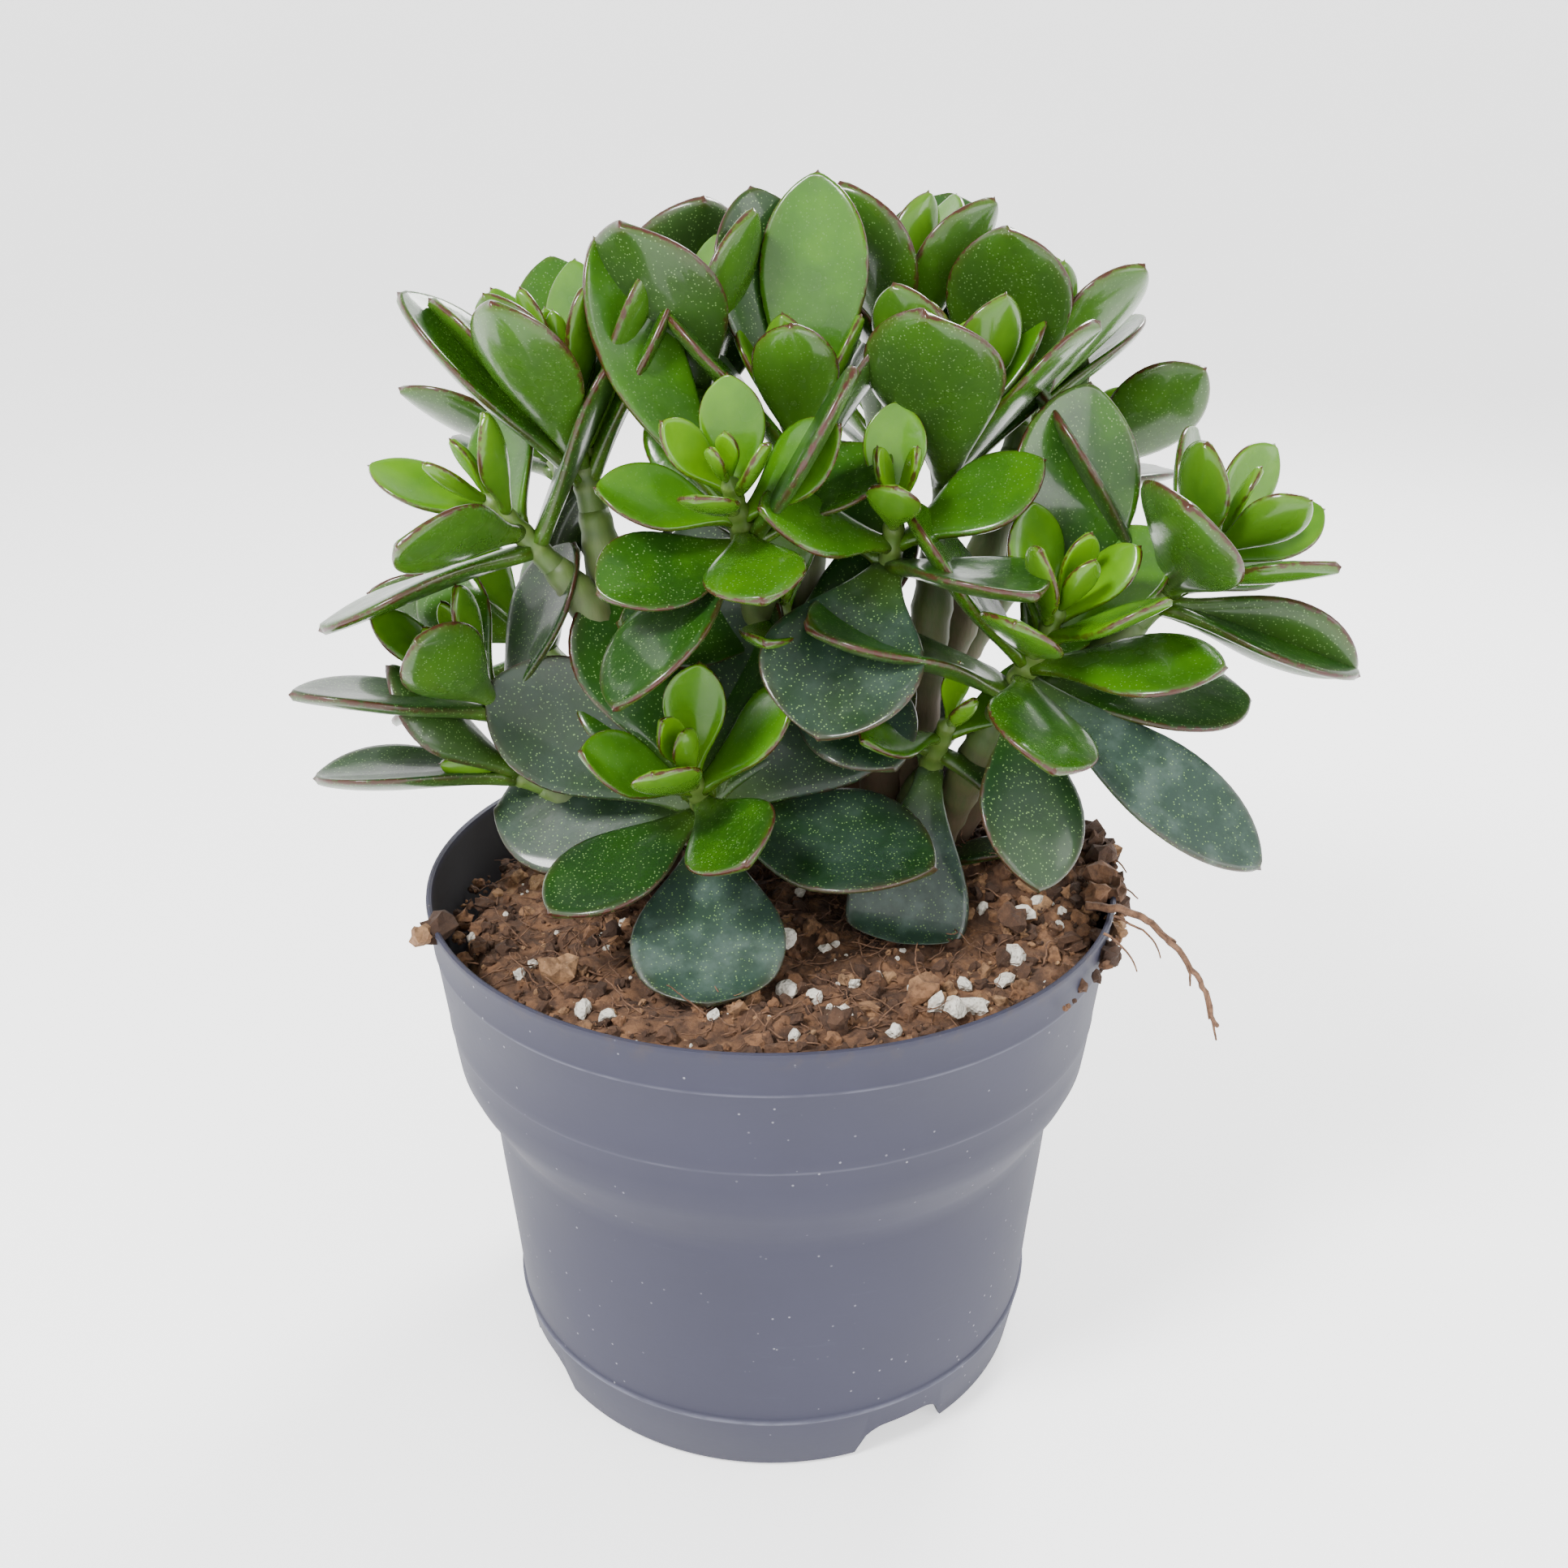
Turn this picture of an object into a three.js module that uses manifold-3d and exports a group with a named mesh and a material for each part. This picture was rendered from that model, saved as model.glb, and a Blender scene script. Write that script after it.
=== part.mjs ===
// A jade plant of several cuttings, growing in a 14 cm nursery pot.
// Units are millimetres. +Z is up, the pot's axis is Z and the pot stands on z = 0.
// -Y is the plant's front. Headings are compass angles about Z, counted from +X towards +Y.

import * as THREE from 'three';
import { mergeVertices } from 'three/addons/utils/BufferGeometryUtils.js';
import Module from 'manifold-3d';

const wasm = await Module();
wasm.setup();

// ---------------------------------------------------------------- driving dimensions

const GAP = 0.3; // clearance between neighbouring solids

const POT_HEIGHT = 108.5;
const RIM_RADIUS = 70;
const BASE_RADIUS = 54.7;
const POT_WALL = 1.3;
const POT_SIDES = 36;
const EDGE_HEIGHT = 13; // the raised line above the foot ring
const EDGE_RADIUS = 57;
const BODY_TOP_RADIUS = 60.1; // where the body meets the shoulder
const SHOULDER_LOW = 59;
const SHOULDER_HIGH = 80;
const BAND_RADIUS = 67.1; // where the shoulder meets the rim band
const FLOOR_LOW = 8;
const FLOOR_HIGH = 9.6;
const PAD_RADIUS = 10; // the centre foot under the floor
const NOTCH_COUNT = 4;
const NOTCH_HEADING = -61;
const NOTCH_WIDTH = 21;
const NOTCH_HEIGHT = 7;
const DRAIN_RADIUS = 4;
const DRAIN_RING = 44;

const SOIL_LEVEL = 101;
const SOIL_SIDES = 24;
const MOUND = { x: 54, y: 6, rise: 11, spread: 17 }; // heaped against the right of the rim

const LEAF_WIDEST = 0.62; // where along its length a leaf is widest
const LEAF_NECK = 0.22; // the leaf base's share of the full width
const LEAF_STATIONS = [0, 0.38, 0.72];
const LEAF_SIDES = 4;
const LEAF_INSET = 1.2; // a leaf starts this far out from its shoot's axis
const FIRST_NODE = 1; // how far below the bud the first pair stands
const YOUNG_LEAF = 0.34; // length of the leaves at the bud, as a share of the longest
const YOUNG_SPREAD = 14; // degrees between those leaves and the stem
const YOUNG_BREADTH = 0.4; // their width as a share of their length
const BREADTH_GAIN = 0.15;
const YOUNG_BEND = 22; // degrees that they arch towards their upper face
const BEND_LOSS = 34;
const LENGTH_SCATTER = 0.1;
const SPREAD_SCATTER = 7;
const TURN_SCATTER = 12;
const ROLL_SCATTER = 18;
const STEM_SIDES = 6;
const GREEN_STEM_TOP = 1.6; // radius of a shoot's green stem under its bud
const GREEN_STEM_TAPER = 0.05; // how fast that radius grows down the stem
const GREEN_BELOW = 5; // green stem left below the lowest node
const WOOD_RADIUS = 3.6; // a woody branch where it meets its shoot
const TRUNK_RADIUS = 5;
const TRUNK_FOOT = 90; // height of a trunk's buried end

const COLOURS = {
  pot: 0x5f6472,
  soil: 0x5a3a28,
  wood: 0x8a6a50,
  leaf: 0x4f8a2c,
  perlite: 0xe8e4da,
  root: 0x5b4030,
};

// ---------------------------------------------------------------- the plant as it grew

// Where each cutting was pushed into the soil: x, y of its trunk.
const TRUNKS = {
  front: [-8, 4],
  left: [-27, 14],
  centre: [4, 24],
  right: [27, 18],
  back: [8, 46],
};

// A shoot ends in a bud at its tip and leans along its lean (heading, rise above level).
// Its nodes follow each other down the stem, a gap apart, with a pair of leaves at each.
// leaf is the length of its longest leaves, broad widens them all, and open is how far
// the lowest pair spreads from the stem, towards the heading called facing. Each pair
// stands a quarter turn and a spiral from the next, and lift draws the old leaves up.
// Strays are single leaves that stand out from the pairs.
const COMMON = { pairs: 4, gap: 4, leaf: 42, open: 60, lift: 0.15, spiral: 15, broad: 1, strays: [] };
const SHOOTS = [
  { name: 'front', trunk: 'front', tip: [-15, -20, 138], lean: [250, 60], facing: 275,
    pairs: 7, gap: 2.8, leaf: 47, open: 98, lift: 0.05, spiral: 22, broad: 1.2, strays: [
      { node: 3, heading: 62, rise: 58, length: 44, width: 30, bend: 5, roll: -25 },
      { node: 3, heading: 128, rise: 58, length: 48, width: 31, bend: 5, roll: 25 },
      { node: 4, heading: 168, rise: 28, length: 48, width: 26, bend: 0, roll: -35 },
      { node: 5, heading: 95, rise: 68, length: 58, width: 32, bend: 0, roll: 0 },
      { node: 5, heading: 18, rise: 34, length: 50, width: 28, bend: 0, roll: 30 },
    ] },
  { name: 'upper_left', trunk: 'left', tip: [-38, 6, 206], lean: [170, 80], facing: 190,
    pairs: 7, gap: 3.2, leaf: 44, open: 44, spiral: 12, broad: 0.85 },
  { name: 'left_middle', trunk: 'left', tip: [-52, -4, 186], lean: [190, 50], facing: 190,
    open: 70, lift: 0 },
  { name: 'left_low', trunk: 'left', tip: [-58, -6, 154], lean: [200, 60], facing: 200,
    leaf: 38, open: 55, lift: 0.1 },
  { name: 'left_lowest', trunk: 'left', tip: [-54, -5, 132], lean: [190, 25], facing: 190,
    pairs: 2, leaf: 38, open: 25, lift: 0 },
  { name: 'centre', trunk: 'centre', tip: [-7, -16, 192], lean: [250, 60], facing: 215,
    pairs: 6, gap: 3, leaf: 34, open: 75, lift: 0, broad: 1.1, strays: [
      { node: 3, heading: 150, rise: 58, length: 56, width: 17, bend: 35, roll: 20 },
      { node: 5, heading: 232, rise: -30, length: 42, width: 22, bend: -15, roll: 20 },
      { node: 5, heading: 320, rise: 55, length: 42, width: 22, bend: 5, roll: -20 },
    ] },
  { name: 'centre_low', trunk: 'centre', tip: [2, -2, 165], lean: [260, 55], facing: 300,
    gap: 4.5, leaf: 40, open: 85, lift: 0, broad: 1.1 },
  { name: 'centre_back', trunk: 'centre', tip: [-14, 16, 208], lean: [110, 82], facing: 70,
    leaf: 44, open: 38, broad: 1.1 },
  { name: 'top_centre', trunk: 'centre', tip: [6, 8, 202], lean: [250, 85], facing: 10,
    pairs: 5, gap: 3.5, leaf: 38, open: 42, strays: [
      { node: 2, heading: 75, rise: 78, length: 48, width: 21, bend: -5, roll: 0 },
      { node: 3, heading: 130, rise: 72, length: 50, width: 24, bend: 5, roll: 0 },
    ] },
  { name: 'top_back', trunk: 'back', tip: [26, 42, 215], lean: [80, 80], facing: 60,
    pairs: 5, leaf: 46, open: 35, spiral: 10, broad: 1.05 },
  { name: 'top_right', trunk: 'right', tip: [36, 14, 202], lean: [60, 78], facing: 75,
    pairs: 6, gap: 3.5, leaf: 44, open: 50, broad: 1.1 },
  { name: 'right_centre', trunk: 'right', tip: [23, -8, 186], lean: [280, 75], facing: 300,
    leaf: 36, open: 80, lift: 0, broad: 1.15, strays: [
      { node: 3, heading: 245, rise: -35, length: 40, width: 30, bend: -20, roll: 0 },
    ] },
  { name: 'back_right', trunk: 'back', tip: [54, 36, 208], lean: [50, 72], facing: 50,
    pairs: 5, open: 50, broad: 1.05 },
  { name: 'right', trunk: 'right', tip: [53, -14, 168], lean: [320, 65], facing: 10,
    pairs: 7, gap: 3.2, leaf: 44, open: 85, lift: 0.05, broad: 1.1, strays: [
      { node: 4, heading: 60, rise: 65, length: 54, width: 26, bend: 0, roll: 0 },
      { node: 5, heading: 330, rise: -30, length: 56, width: 20, bend: -15, roll: 20 },
      { node: 6, heading: 275, rise: -45, length: 40, width: 22, bend: -10, roll: 0 },
    ] },
  { name: 'far_right', trunk: 'right', tip: [86, 0, 178], lean: [350, 50], facing: 335,
    pairs: 6, gap: 3.5, leaf: 44, open: 72, lift: 0.05, broad: 1.15, strays: [
      { node: 5, heading: 345, rise: -15, length: 40, width: 22, bend: -10, roll: -50 },
    ] },
  { name: 'low_right', trunk: 'right', tip: [34, -10, 144], lean: [290, 60], facing: 260,
    open: 120, lift: -0.1, spiral: 20, broad: 0.95 },
  { name: 'back_left', trunk: 'back', tip: [-50, 48, 190], lean: [140, 55], facing: 130, leaf: 44 },
  { name: 'back_top', trunk: 'back', tip: [-22, 55, 205], lean: [110, 70], facing: 100,
    leaf: 44, open: 55 },
  { name: 'back_middle', trunk: 'back', tip: [25, 75, 188], lean: [80, 55], facing: 80, leaf: 44 },
  { name: 'back_far_right', trunk: 'back', tip: [68, 52, 184], lean: [45, 45], facing: 40,
    leaf: 44 },
  { name: 'back_low_left', trunk: 'left', tip: [-58, 40, 150], lean: [150, 35], facing: 160,
    open: 66 },
].map((shoot) => ({ ...COMMON, ...shoot }));

const FALLEN_LEAF = { base: [25, 1, 105.5], heading: 355, rise: 6, length: 28, width: 9.5, bend: 10 };
const PERLITE = [ // x, y, z and size of the coarsest grains
  [49, -19, 107.5, 2.6],
  [3, -24, 104.5, 2.3],
  [33, -51, 106, 2.2],
];
const ROOT = [[61, -20, 109.5], [68, -23, 110.5], [75, -26, 107], [82, -28, 99], [87, -29, 88]];

// ---------------------------------------------------------------- solids

function toSolid(geometry) {
  const bare = new THREE.BufferGeometry();
  bare.setAttribute('position', geometry.getAttribute('position'));
  bare.setIndex(geometry.getIndex());
  const merged = mergeVertices(bare, 1e-4);
  const mesh = new wasm.Mesh({
    numProp: 3,
    vertProperties: new Float32Array(merged.getAttribute('position').array),
    triVerts: new Uint32Array(merged.getIndex().array),
  });
  return new wasm.Manifold(mesh);
}

function toGeometry(solid) {
  const mesh = solid.getMesh();
  const geometry = new THREE.BufferGeometry();
  geometry.setAttribute('position', new THREE.BufferAttribute(mesh.vertProperties, 3));
  geometry.setIndex(new THREE.BufferAttribute(mesh.triVerts, 1));
  geometry.computeVertexNormals();
  return geometry;
}

function join(solids) {
  return solids.reduce((whole, solid) => whole.add(solid));
}

// The closed body through rings of points. The rings turn anticlockwise as seen from
// the far end, and a tip, if there is one, closes that end in a point.
function loft(rings, tip) {
  const sides = rings[0].length;
  const points = rings.flat();
  const last = (rings.length - 1) * sides;
  const faces = [];
  for (let start = 0; start < last; start += sides) {
    for (let k = 0; k < sides; k += 1) {
      const a = start + k;
      const b = start + ((k + 1) % sides);
      faces.push(a, b, b + sides, a, b + sides, a + sides);
    }
  }
  for (let k = 1; k < sides - 1; k += 1) {
    faces.push(0, k + 1, k);
    if (!tip) faces.push(last, last + k, last + k + 1);
  }
  if (tip) {
    for (let k = 0; k < sides; k += 1) {
      faces.push(last + k, last + ((k + 1) % sides), points.length);
    }
    points.push(tip);
  }
  const geometry = new THREE.BufferGeometry().setFromPoints(points);
  geometry.setIndex(faces);
  return geometry;
}

function direction(heading, rise) {
  const turn = THREE.MathUtils.degToRad(heading);
  const tilt = THREE.MathUtils.degToRad(rise);
  return new THREE.Vector3(
    Math.cos(tilt) * Math.cos(turn),
    Math.cos(tilt) * Math.sin(turn),
    Math.sin(tilt),
  );
}

// ---------------------------------------------------------------- leaves and stems

// A leaf's half width, as a share of its greatest, at t of its length.
function leafOutline(t) {
  if (t < LEAF_WIDEST) {
    const u = t / LEAF_WIDEST;
    return LEAF_NECK + (1 - LEAF_NECK) * u * u * (3 - 2 * u);
  }
  const u = (t - LEAF_WIDEST) / (1 - LEAF_WIDEST);
  return (1 - u ** 2.3) ** 0.72;
}

// A fleshy leaf: its midrib is an arc from the base to the tip, and its upper face
// looks towards the axis of the shoot. swell makes it fatter all round.
function leafSolid(leaf, swell = 0) {
  const upper = leaf.axis.clone().addScaledVector(leaf.along, -leaf.axis.dot(leaf.along));
  upper.normalize().applyAxisAngle(leaf.along, THREE.MathUtils.degToRad(leaf.roll));
  const side = upper.clone().cross(leaf.along);
  const bend = THREE.MathUtils.degToRad(Math.abs(leaf.bend) < 1 ? 1 : leaf.bend);
  const radius = (leaf.length - LEAF_INSET) / (2 * Math.sin(bend / 2));
  const thickness = 2.2 + 0.05 * leaf.length;
  const midrib = (t) => {
    const angle = bend * (t - 0.5);
    const across = radius * (Math.sin(angle) + Math.sin(bend / 2));
    const lift = radius * (Math.cos(bend / 2) - Math.cos(angle));
    const point = leaf.base.clone().addScaledVector(leaf.along, across + LEAF_INSET);
    return point.addScaledVector(upper, lift);
  };
  const rings = LEAF_STATIONS.map((t) => {
    const angle = bend * (t - 0.5);
    const face = upper.clone().multiplyScalar(Math.cos(angle));
    face.addScaledVector(leaf.along, -Math.sin(angle));
    const share = leafOutline(t);
    const halfWidth = (leaf.width / 2) * share + swell;
    const halfDepth = (thickness / 2) * (1 - 0.35 * t) * (0.75 + 0.25 * share) + swell;
    const centre = midrib(t);
    return Array.from({ length: LEAF_SIDES }, (_, k) => {
      const turn = (2 * Math.PI * k) / LEAF_SIDES;
      const point = centre.clone().addScaledVector(side, halfWidth * Math.cos(turn));
      return point.addScaledVector(face, halfDepth * Math.sin(turn));
    });
  });
  return toSolid(loft(rings, midrib(1).addScaledVector(leaf.along, swell)));
}

// A round stem along a curve, tapering from one radius to the other.
function stemSolid(curve, steps, startRadius, endRadius, swell = 0) {
  const frames = curve.computeFrenetFrames(steps, false);
  const rings = frames.tangents.map((_, i) => {
    const centre = curve.getPointAt(i / steps);
    const radius = THREE.MathUtils.lerp(startRadius, endRadius, i / steps) + swell;
    return Array.from({ length: STEM_SIDES }, (__, k) => {
      const turn = (2 * Math.PI * k) / STEM_SIDES;
      const point = centre.clone().addScaledVector(frames.normals[i], radius * Math.cos(turn));
      return point.addScaledVector(frames.binormals[i], radius * Math.sin(turn));
    });
  });
  return toSolid(loft(rings));
}

function shootAxis(shoot) {
  return direction(...shoot.lean);
}

// The point on a shoot's axis at a distance below its bud.
function shootPoint(shoot, drop) {
  return new THREE.Vector3(...shoot.tip).addScaledVector(shootAxis(shoot), -drop);
}

function nodeDrop(shoot, node) {
  return FIRST_NODE + shoot.gap * node;
}

// A repeatable scatter between -1 and 1 for two whole numbers.
function scatter(a, b) {
  const wave = 437.585 * Math.sin(12.9898 * a + 78.233 * b);
  return 2 * (wave - Math.floor(wave)) - 1;
}

// The crossed pairs of a shoot. Down the stem they get longer and broader, spread
// further and arch less; age runs from 0 at the bud to 1 at the lowest pair.
function pairedLeaves(shoot, index) {
  const axis = shootAxis(shoot);
  const level = new THREE.Vector3(0, 0, 1).cross(axis).normalize();
  return Array.from({ length: 2 * shoot.pairs }, (_, i) => {
    const node = Math.floor(i / 2);
    const age = node / (shoot.pairs - 1);
    const uneven = (kind) => scatter(index + kind, i + kind);
    const grown = YOUNG_LEAF + (1 - YOUNG_LEAF) * age ** 0.8;
    const length = shoot.leaf * grown * (1 + LENGTH_SCATTER * uneven(1));
    const spread = YOUNG_SPREAD + (shoot.open - YOUNG_SPREAD) * age ** 0.85 + SPREAD_SCATTER * uneven(2);
    const turn = shoot.facing - shoot.lean[0] + (90 + shoot.spiral) * (node - shoot.pairs + 1)
      + 180 * (i % 2) + TURN_SCATTER * uneven(3);
    const along = axis.clone().applyAxisAngle(level, THREE.MathUtils.degToRad(spread));
    along.applyAxisAngle(axis, THREE.MathUtils.degToRad(turn));
    along.z += shoot.lift * age;
    return {
      node, length, axis,
      along: along.normalize(),
      base: shootPoint(shoot, nodeDrop(shoot, node)),
      width: length * (YOUNG_BREADTH + BREADTH_GAIN * age) * shoot.broad,
      bend: YOUNG_BEND - BEND_LOSS * age,
      roll: ROLL_SCATTER * uneven(4),
    };
  });
}

function strayLeaves(shoot) {
  return shoot.strays.map((stray) => ({
    ...stray,
    axis: shootAxis(shoot),
    along: direction(stray.heading, stray.rise),
    base: shootPoint(shoot, nodeDrop(shoot, stray.node)),
  }));
}

// A shoot's leaves in runs of two nodes from the bud down, the last run taking what is left.
function leafRuns(leaves) {
  const nodes = 1 + Math.max(...leaves.map((leaf) => leaf.node));
  const count = Math.max(1, Math.floor(nodes / 2));
  return Array.from({ length: count }, (_, i) => leaves.filter((leaf) => (
    Math.min(count - 1, Math.floor(leaf.node / 2)) === i
  )));
}

function greenStem(shoot, top, bottom, swell) {
  const curve = new THREE.LineCurve3(shootPoint(shoot, bottom), shootPoint(shoot, top));
  const radiusAt = (drop) => Math.max(0.7, GREEN_STEM_TOP + GREEN_STEM_TAPER * drop);
  const topRadius = top < 0 ? 0.7 : radiusAt(top);
  return stemSolid(curve, 1, radiusAt(bottom), topRadius, swell);
}

// ---------------------------------------------------------------- assembly

const plant = new THREE.Group();
const claimed = []; // the space already taken: each solid as it is, and with its clearance

function boxesMeet(a, b) {
  return [0, 1, 2].every((i) => a.min[i] <= b.max[i] && b.min[i] <= a.max[i]);
}

// Cuts a solid back from the earlier neighbours it runs into and keeps its largest body.
function clearOfNeighbours(solid) {
  const box = solid.boundingBox();
  const cut = claimed
    .filter((other) => boxesMeet(box, other.exact.boundingBox()))
    .filter((other) => solid.intersect(other.exact).volume() > 0)
    .reduce((rest, other) => rest.subtract(other.swollen), solid);
  return cut.decompose().reduce((best, body) => (body.volume() > best.volume() ? body : best));
}

function addNode(name, solid, colour, roughness) {
  const material = new THREE.MeshStandardMaterial({ color: colour, roughness, metalness: 0 });
  const mesh = new THREE.Mesh(toGeometry(solid), material);
  mesh.name = name;
  plant.add(mesh);
}

// Adds a node made by build(swell), cut clear of what is there, and claims its space.
function grow(name, build, colour, roughness) {
  const exact = clearOfNeighbours(build(0));
  addNode(name, exact, colour, roughness);
  claimed.push({ exact, swollen: build(GAP) });
}

function addPot() {
  const inner = (radius) => radius - POT_WALL;
  const profile = [
    [0, 0], [PAD_RADIUS, 0], [PAD_RADIUS, FLOOR_LOW],
    [EDGE_RADIUS - 3, FLOOR_LOW], [BASE_RADIUS - 1.6, 0], [BASE_RADIUS, 0],
    [EDGE_RADIUS, EDGE_HEIGHT], [EDGE_RADIUS - 0.6, EDGE_HEIGHT + 0.8],
    [BODY_TOP_RADIUS, SHOULDER_LOW], [65.1, 69.3], [BAND_RADIUS, SHOULDER_HIGH],
    [RIM_RADIUS, POT_HEIGHT], [inner(RIM_RADIUS), POT_HEIGHT],
    [inner(BAND_RADIUS), SHOULDER_HIGH], [inner(64.6), 70],
    [inner(BODY_TOP_RADIUS), SHOULDER_LOW - 0.5], [EDGE_RADIUS - 2.2, FLOOR_HIGH], [0, FLOOR_HIGH],
  ].map(([radius, height]) => new THREE.Vector2(radius, height));
  const lathe = new THREE.LatheGeometry(profile, POT_SIDES).rotateX(Math.PI / 2);
  let pot = toSolid(lathe);
  if (pot.volume() < 0) throw new Error('The pot is inside out.');
  for (let i = 0; i < NOTCH_COUNT; i += 1) {
    const turn = THREE.MathUtils.degToRad(NOTCH_HEADING + (360 / NOTCH_COUNT) * i);
    const arch = new THREE.Shape();
    arch.moveTo(-NOTCH_WIDTH / 2 - 1, -2);
    arch.lineTo(NOTCH_WIDTH / 2 + 1, -2);
    arch.lineTo(NOTCH_WIDTH / 2 - 2, NOTCH_HEIGHT - 2);
    arch.quadraticCurveTo(NOTCH_WIDTH / 2 - 3, NOTCH_HEIGHT, NOTCH_WIDTH / 2 - 6, NOTCH_HEIGHT);
    arch.lineTo(6 - NOTCH_WIDTH / 2, NOTCH_HEIGHT);
    arch.quadraticCurveTo(3 - NOTCH_WIDTH / 2, NOTCH_HEIGHT, 2 - NOTCH_WIDTH / 2, NOTCH_HEIGHT - 2);
    const cutter = new THREE.ExtrudeGeometry(arch, { depth: 14, bevelEnabled: false, curveSegments: 4 });
    cutter.rotateX(Math.PI / 2).rotateZ(Math.PI / 2).translate(EDGE_RADIUS - 8, 0, 0).rotateZ(turn);
    pot = pot.subtract(toSolid(cutter));
    const drain = new THREE.CylinderGeometry(DRAIN_RADIUS, DRAIN_RADIUS, 6, 16).rotateX(Math.PI / 2);
    drain.translate(DRAIN_RING * Math.cos(turn), DRAIN_RING * Math.sin(turn), FLOOR_HIGH - 1);
    pot = pot.subtract(toSolid(drain));
  }
  addNode('pot', pot, COLOURS.pot, 0.55);
}

function addTrunk(name, foot, shoots) {
  const branch = (shoot, swell) => {
    const end = shootPoint(shoot, shoot.greenEnd + GAP + 0.1);
    const start = new THREE.Vector3(...foot, TRUNK_FOOT);
    const bow = end.clone().addScaledVector(shootAxis(shoot), -0.5 * end.distanceTo(start));
    const curve = new THREE.QuadraticBezierCurve3(start, bow, end);
    return stemSolid(curve, 4, TRUNK_RADIUS, WOOD_RADIUS, swell);
  };
  grow(`stem_${name}`, (swell) => join(shoots.map((shoot) => branch(shoot, swell))),
    COLOURS.wood, 0.8);
}

// Each run of leaves grows on its own stretch of green stem, as one solid.
function addShoot(shoot) {
  shoot.runs.forEach((run, i) => {
    const startDrop = (leaves) => nodeDrop(shoot, leaves[0].node) - 1;
    const top = i === 0 ? -2 : startDrop(run);
    const bottom = i === shoot.runs.length - 1
      ? shoot.greenEnd
      : startDrop(shoot.runs[i + 1]) - GAP - 0.1;
    grow(i === 0 ? `${shoot.name}_tip` : `${shoot.name}_leaves_${i}`, (swell) => join([
      greenStem(shoot, top, bottom, swell), ...run.map((leaf) => leafSolid(leaf, swell)),
    ]), COLOURS.leaf, 0.4);
  });
}

function soilHeight(x, y) {
  const away = ((x - MOUND.x) ** 2 + (y - MOUND.y) ** 2) / (2 * MOUND.spread ** 2);
  const front = Math.max(0, -y / RIM_RADIUS);
  const left = Math.max(0, -x / RIM_RADIUS);
  return SOIL_LEVEL + MOUND.rise * Math.exp(-away) + 4 * front ** 2 - 4 * left ** 2;
}

function addSoil() {
  const wall = (radius) => radius - POT_WALL - GAP;
  const rings = [
    [EDGE_RADIUS - 3, FLOOR_HIGH + GAP],
    [wall(BODY_TOP_RADIUS) - 0.2, SHOULDER_LOW - 1], [wall(64), 70], [wall(66.6), SHOULDER_HIGH],
  ].map(([radius, height]) => Array.from({ length: SOIL_SIDES }, (_, k) => {
    const turn = (2 * Math.PI * k) / SOIL_SIDES;
    return new THREE.Vector3(radius * Math.cos(turn), radius * Math.sin(turn), height);
  }));
  [66, 56, 38, 19].forEach((radius) => {
    rings.push(rings[0].map((_, k) => {
      const turn = (2 * Math.PI * k) / SOIL_SIDES;
      const left = Math.max(0, -Math.cos(turn));
      const reach = radius === 66 ? 66.4 - 3 * left : radius;
      const x = reach * Math.cos(turn);
      const y = reach * Math.sin(turn);
      return new THREE.Vector3(x, y, soilHeight(x, y) - (radius === 66 ? 3 * left : 0));
    }));
  });
  const soil = toSolid(loft(rings, new THREE.Vector3(0, 0, SOIL_LEVEL)));
  addNode('soil', clearOfNeighbours(soil), COLOURS.soil, 0.95);
}

function addPerlite() {
  PERLITE.forEach(([x, y, z, size], i) => {
    const grain = (swell) => toSolid(
      new THREE.IcosahedronGeometry(size + swell, 0).rotateX(i).scale(1, 0.8, 0.7).translate(x, y, z),
    );
    grow(`perlite_${i + 1}`, grain, COLOURS.perlite, 0.9);
  });
}

function addRoot() {
  const curve = new THREE.CatmullRomCurve3(ROOT.map((point) => new THREE.Vector3(...point)));
  grow('hanging_root', (swell) => stemSolid(curve, 8, 0.9, 0.5, swell), COLOURS.root, 0.9);
}

const shoots = SHOOTS.map((shoot, index) => {
  const leaves = [...pairedLeaves(shoot, index), ...strayLeaves(shoot)];
  const lastNode = Math.max(...leaves.map((leaf) => leaf.node));
  return { ...shoot, runs: leafRuns(leaves), greenEnd: nodeDrop(shoot, lastNode) + GREEN_BELOW };
});

Object.entries(TRUNKS).forEach(([name, foot]) => {
  addTrunk(name, foot, shoots.filter((shoot) => shoot.trunk === name));
});
shoots.forEach(addShoot);
grow('fallen_leaf', (swell) => leafSolid({
  ...FALLEN_LEAF, roll: 0, base: new THREE.Vector3(...FALLEN_LEAF.base),
  along: direction(FALLEN_LEAF.heading, FALLEN_LEAF.rise), axis: direction(0, 90),
}, swell), COLOURS.leaf, 0.5);
addPerlite();
addRoot();
addSoil();
addPot();

export default plant;
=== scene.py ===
"""The look of a potted jade plant: fleshy leaves in crossed pairs, corky stems, gritty soil, nursery pot.

Lengths are in metres in the frame's axes: +Z up along the pot's axis, -Y towards the front.
The tables of the plant are in millimetres, as a gardener would measure it, and MM converts them.
"""

import math
import random

import bmesh
import bpy
from mathutils import Matrix, Vector, noise


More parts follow.
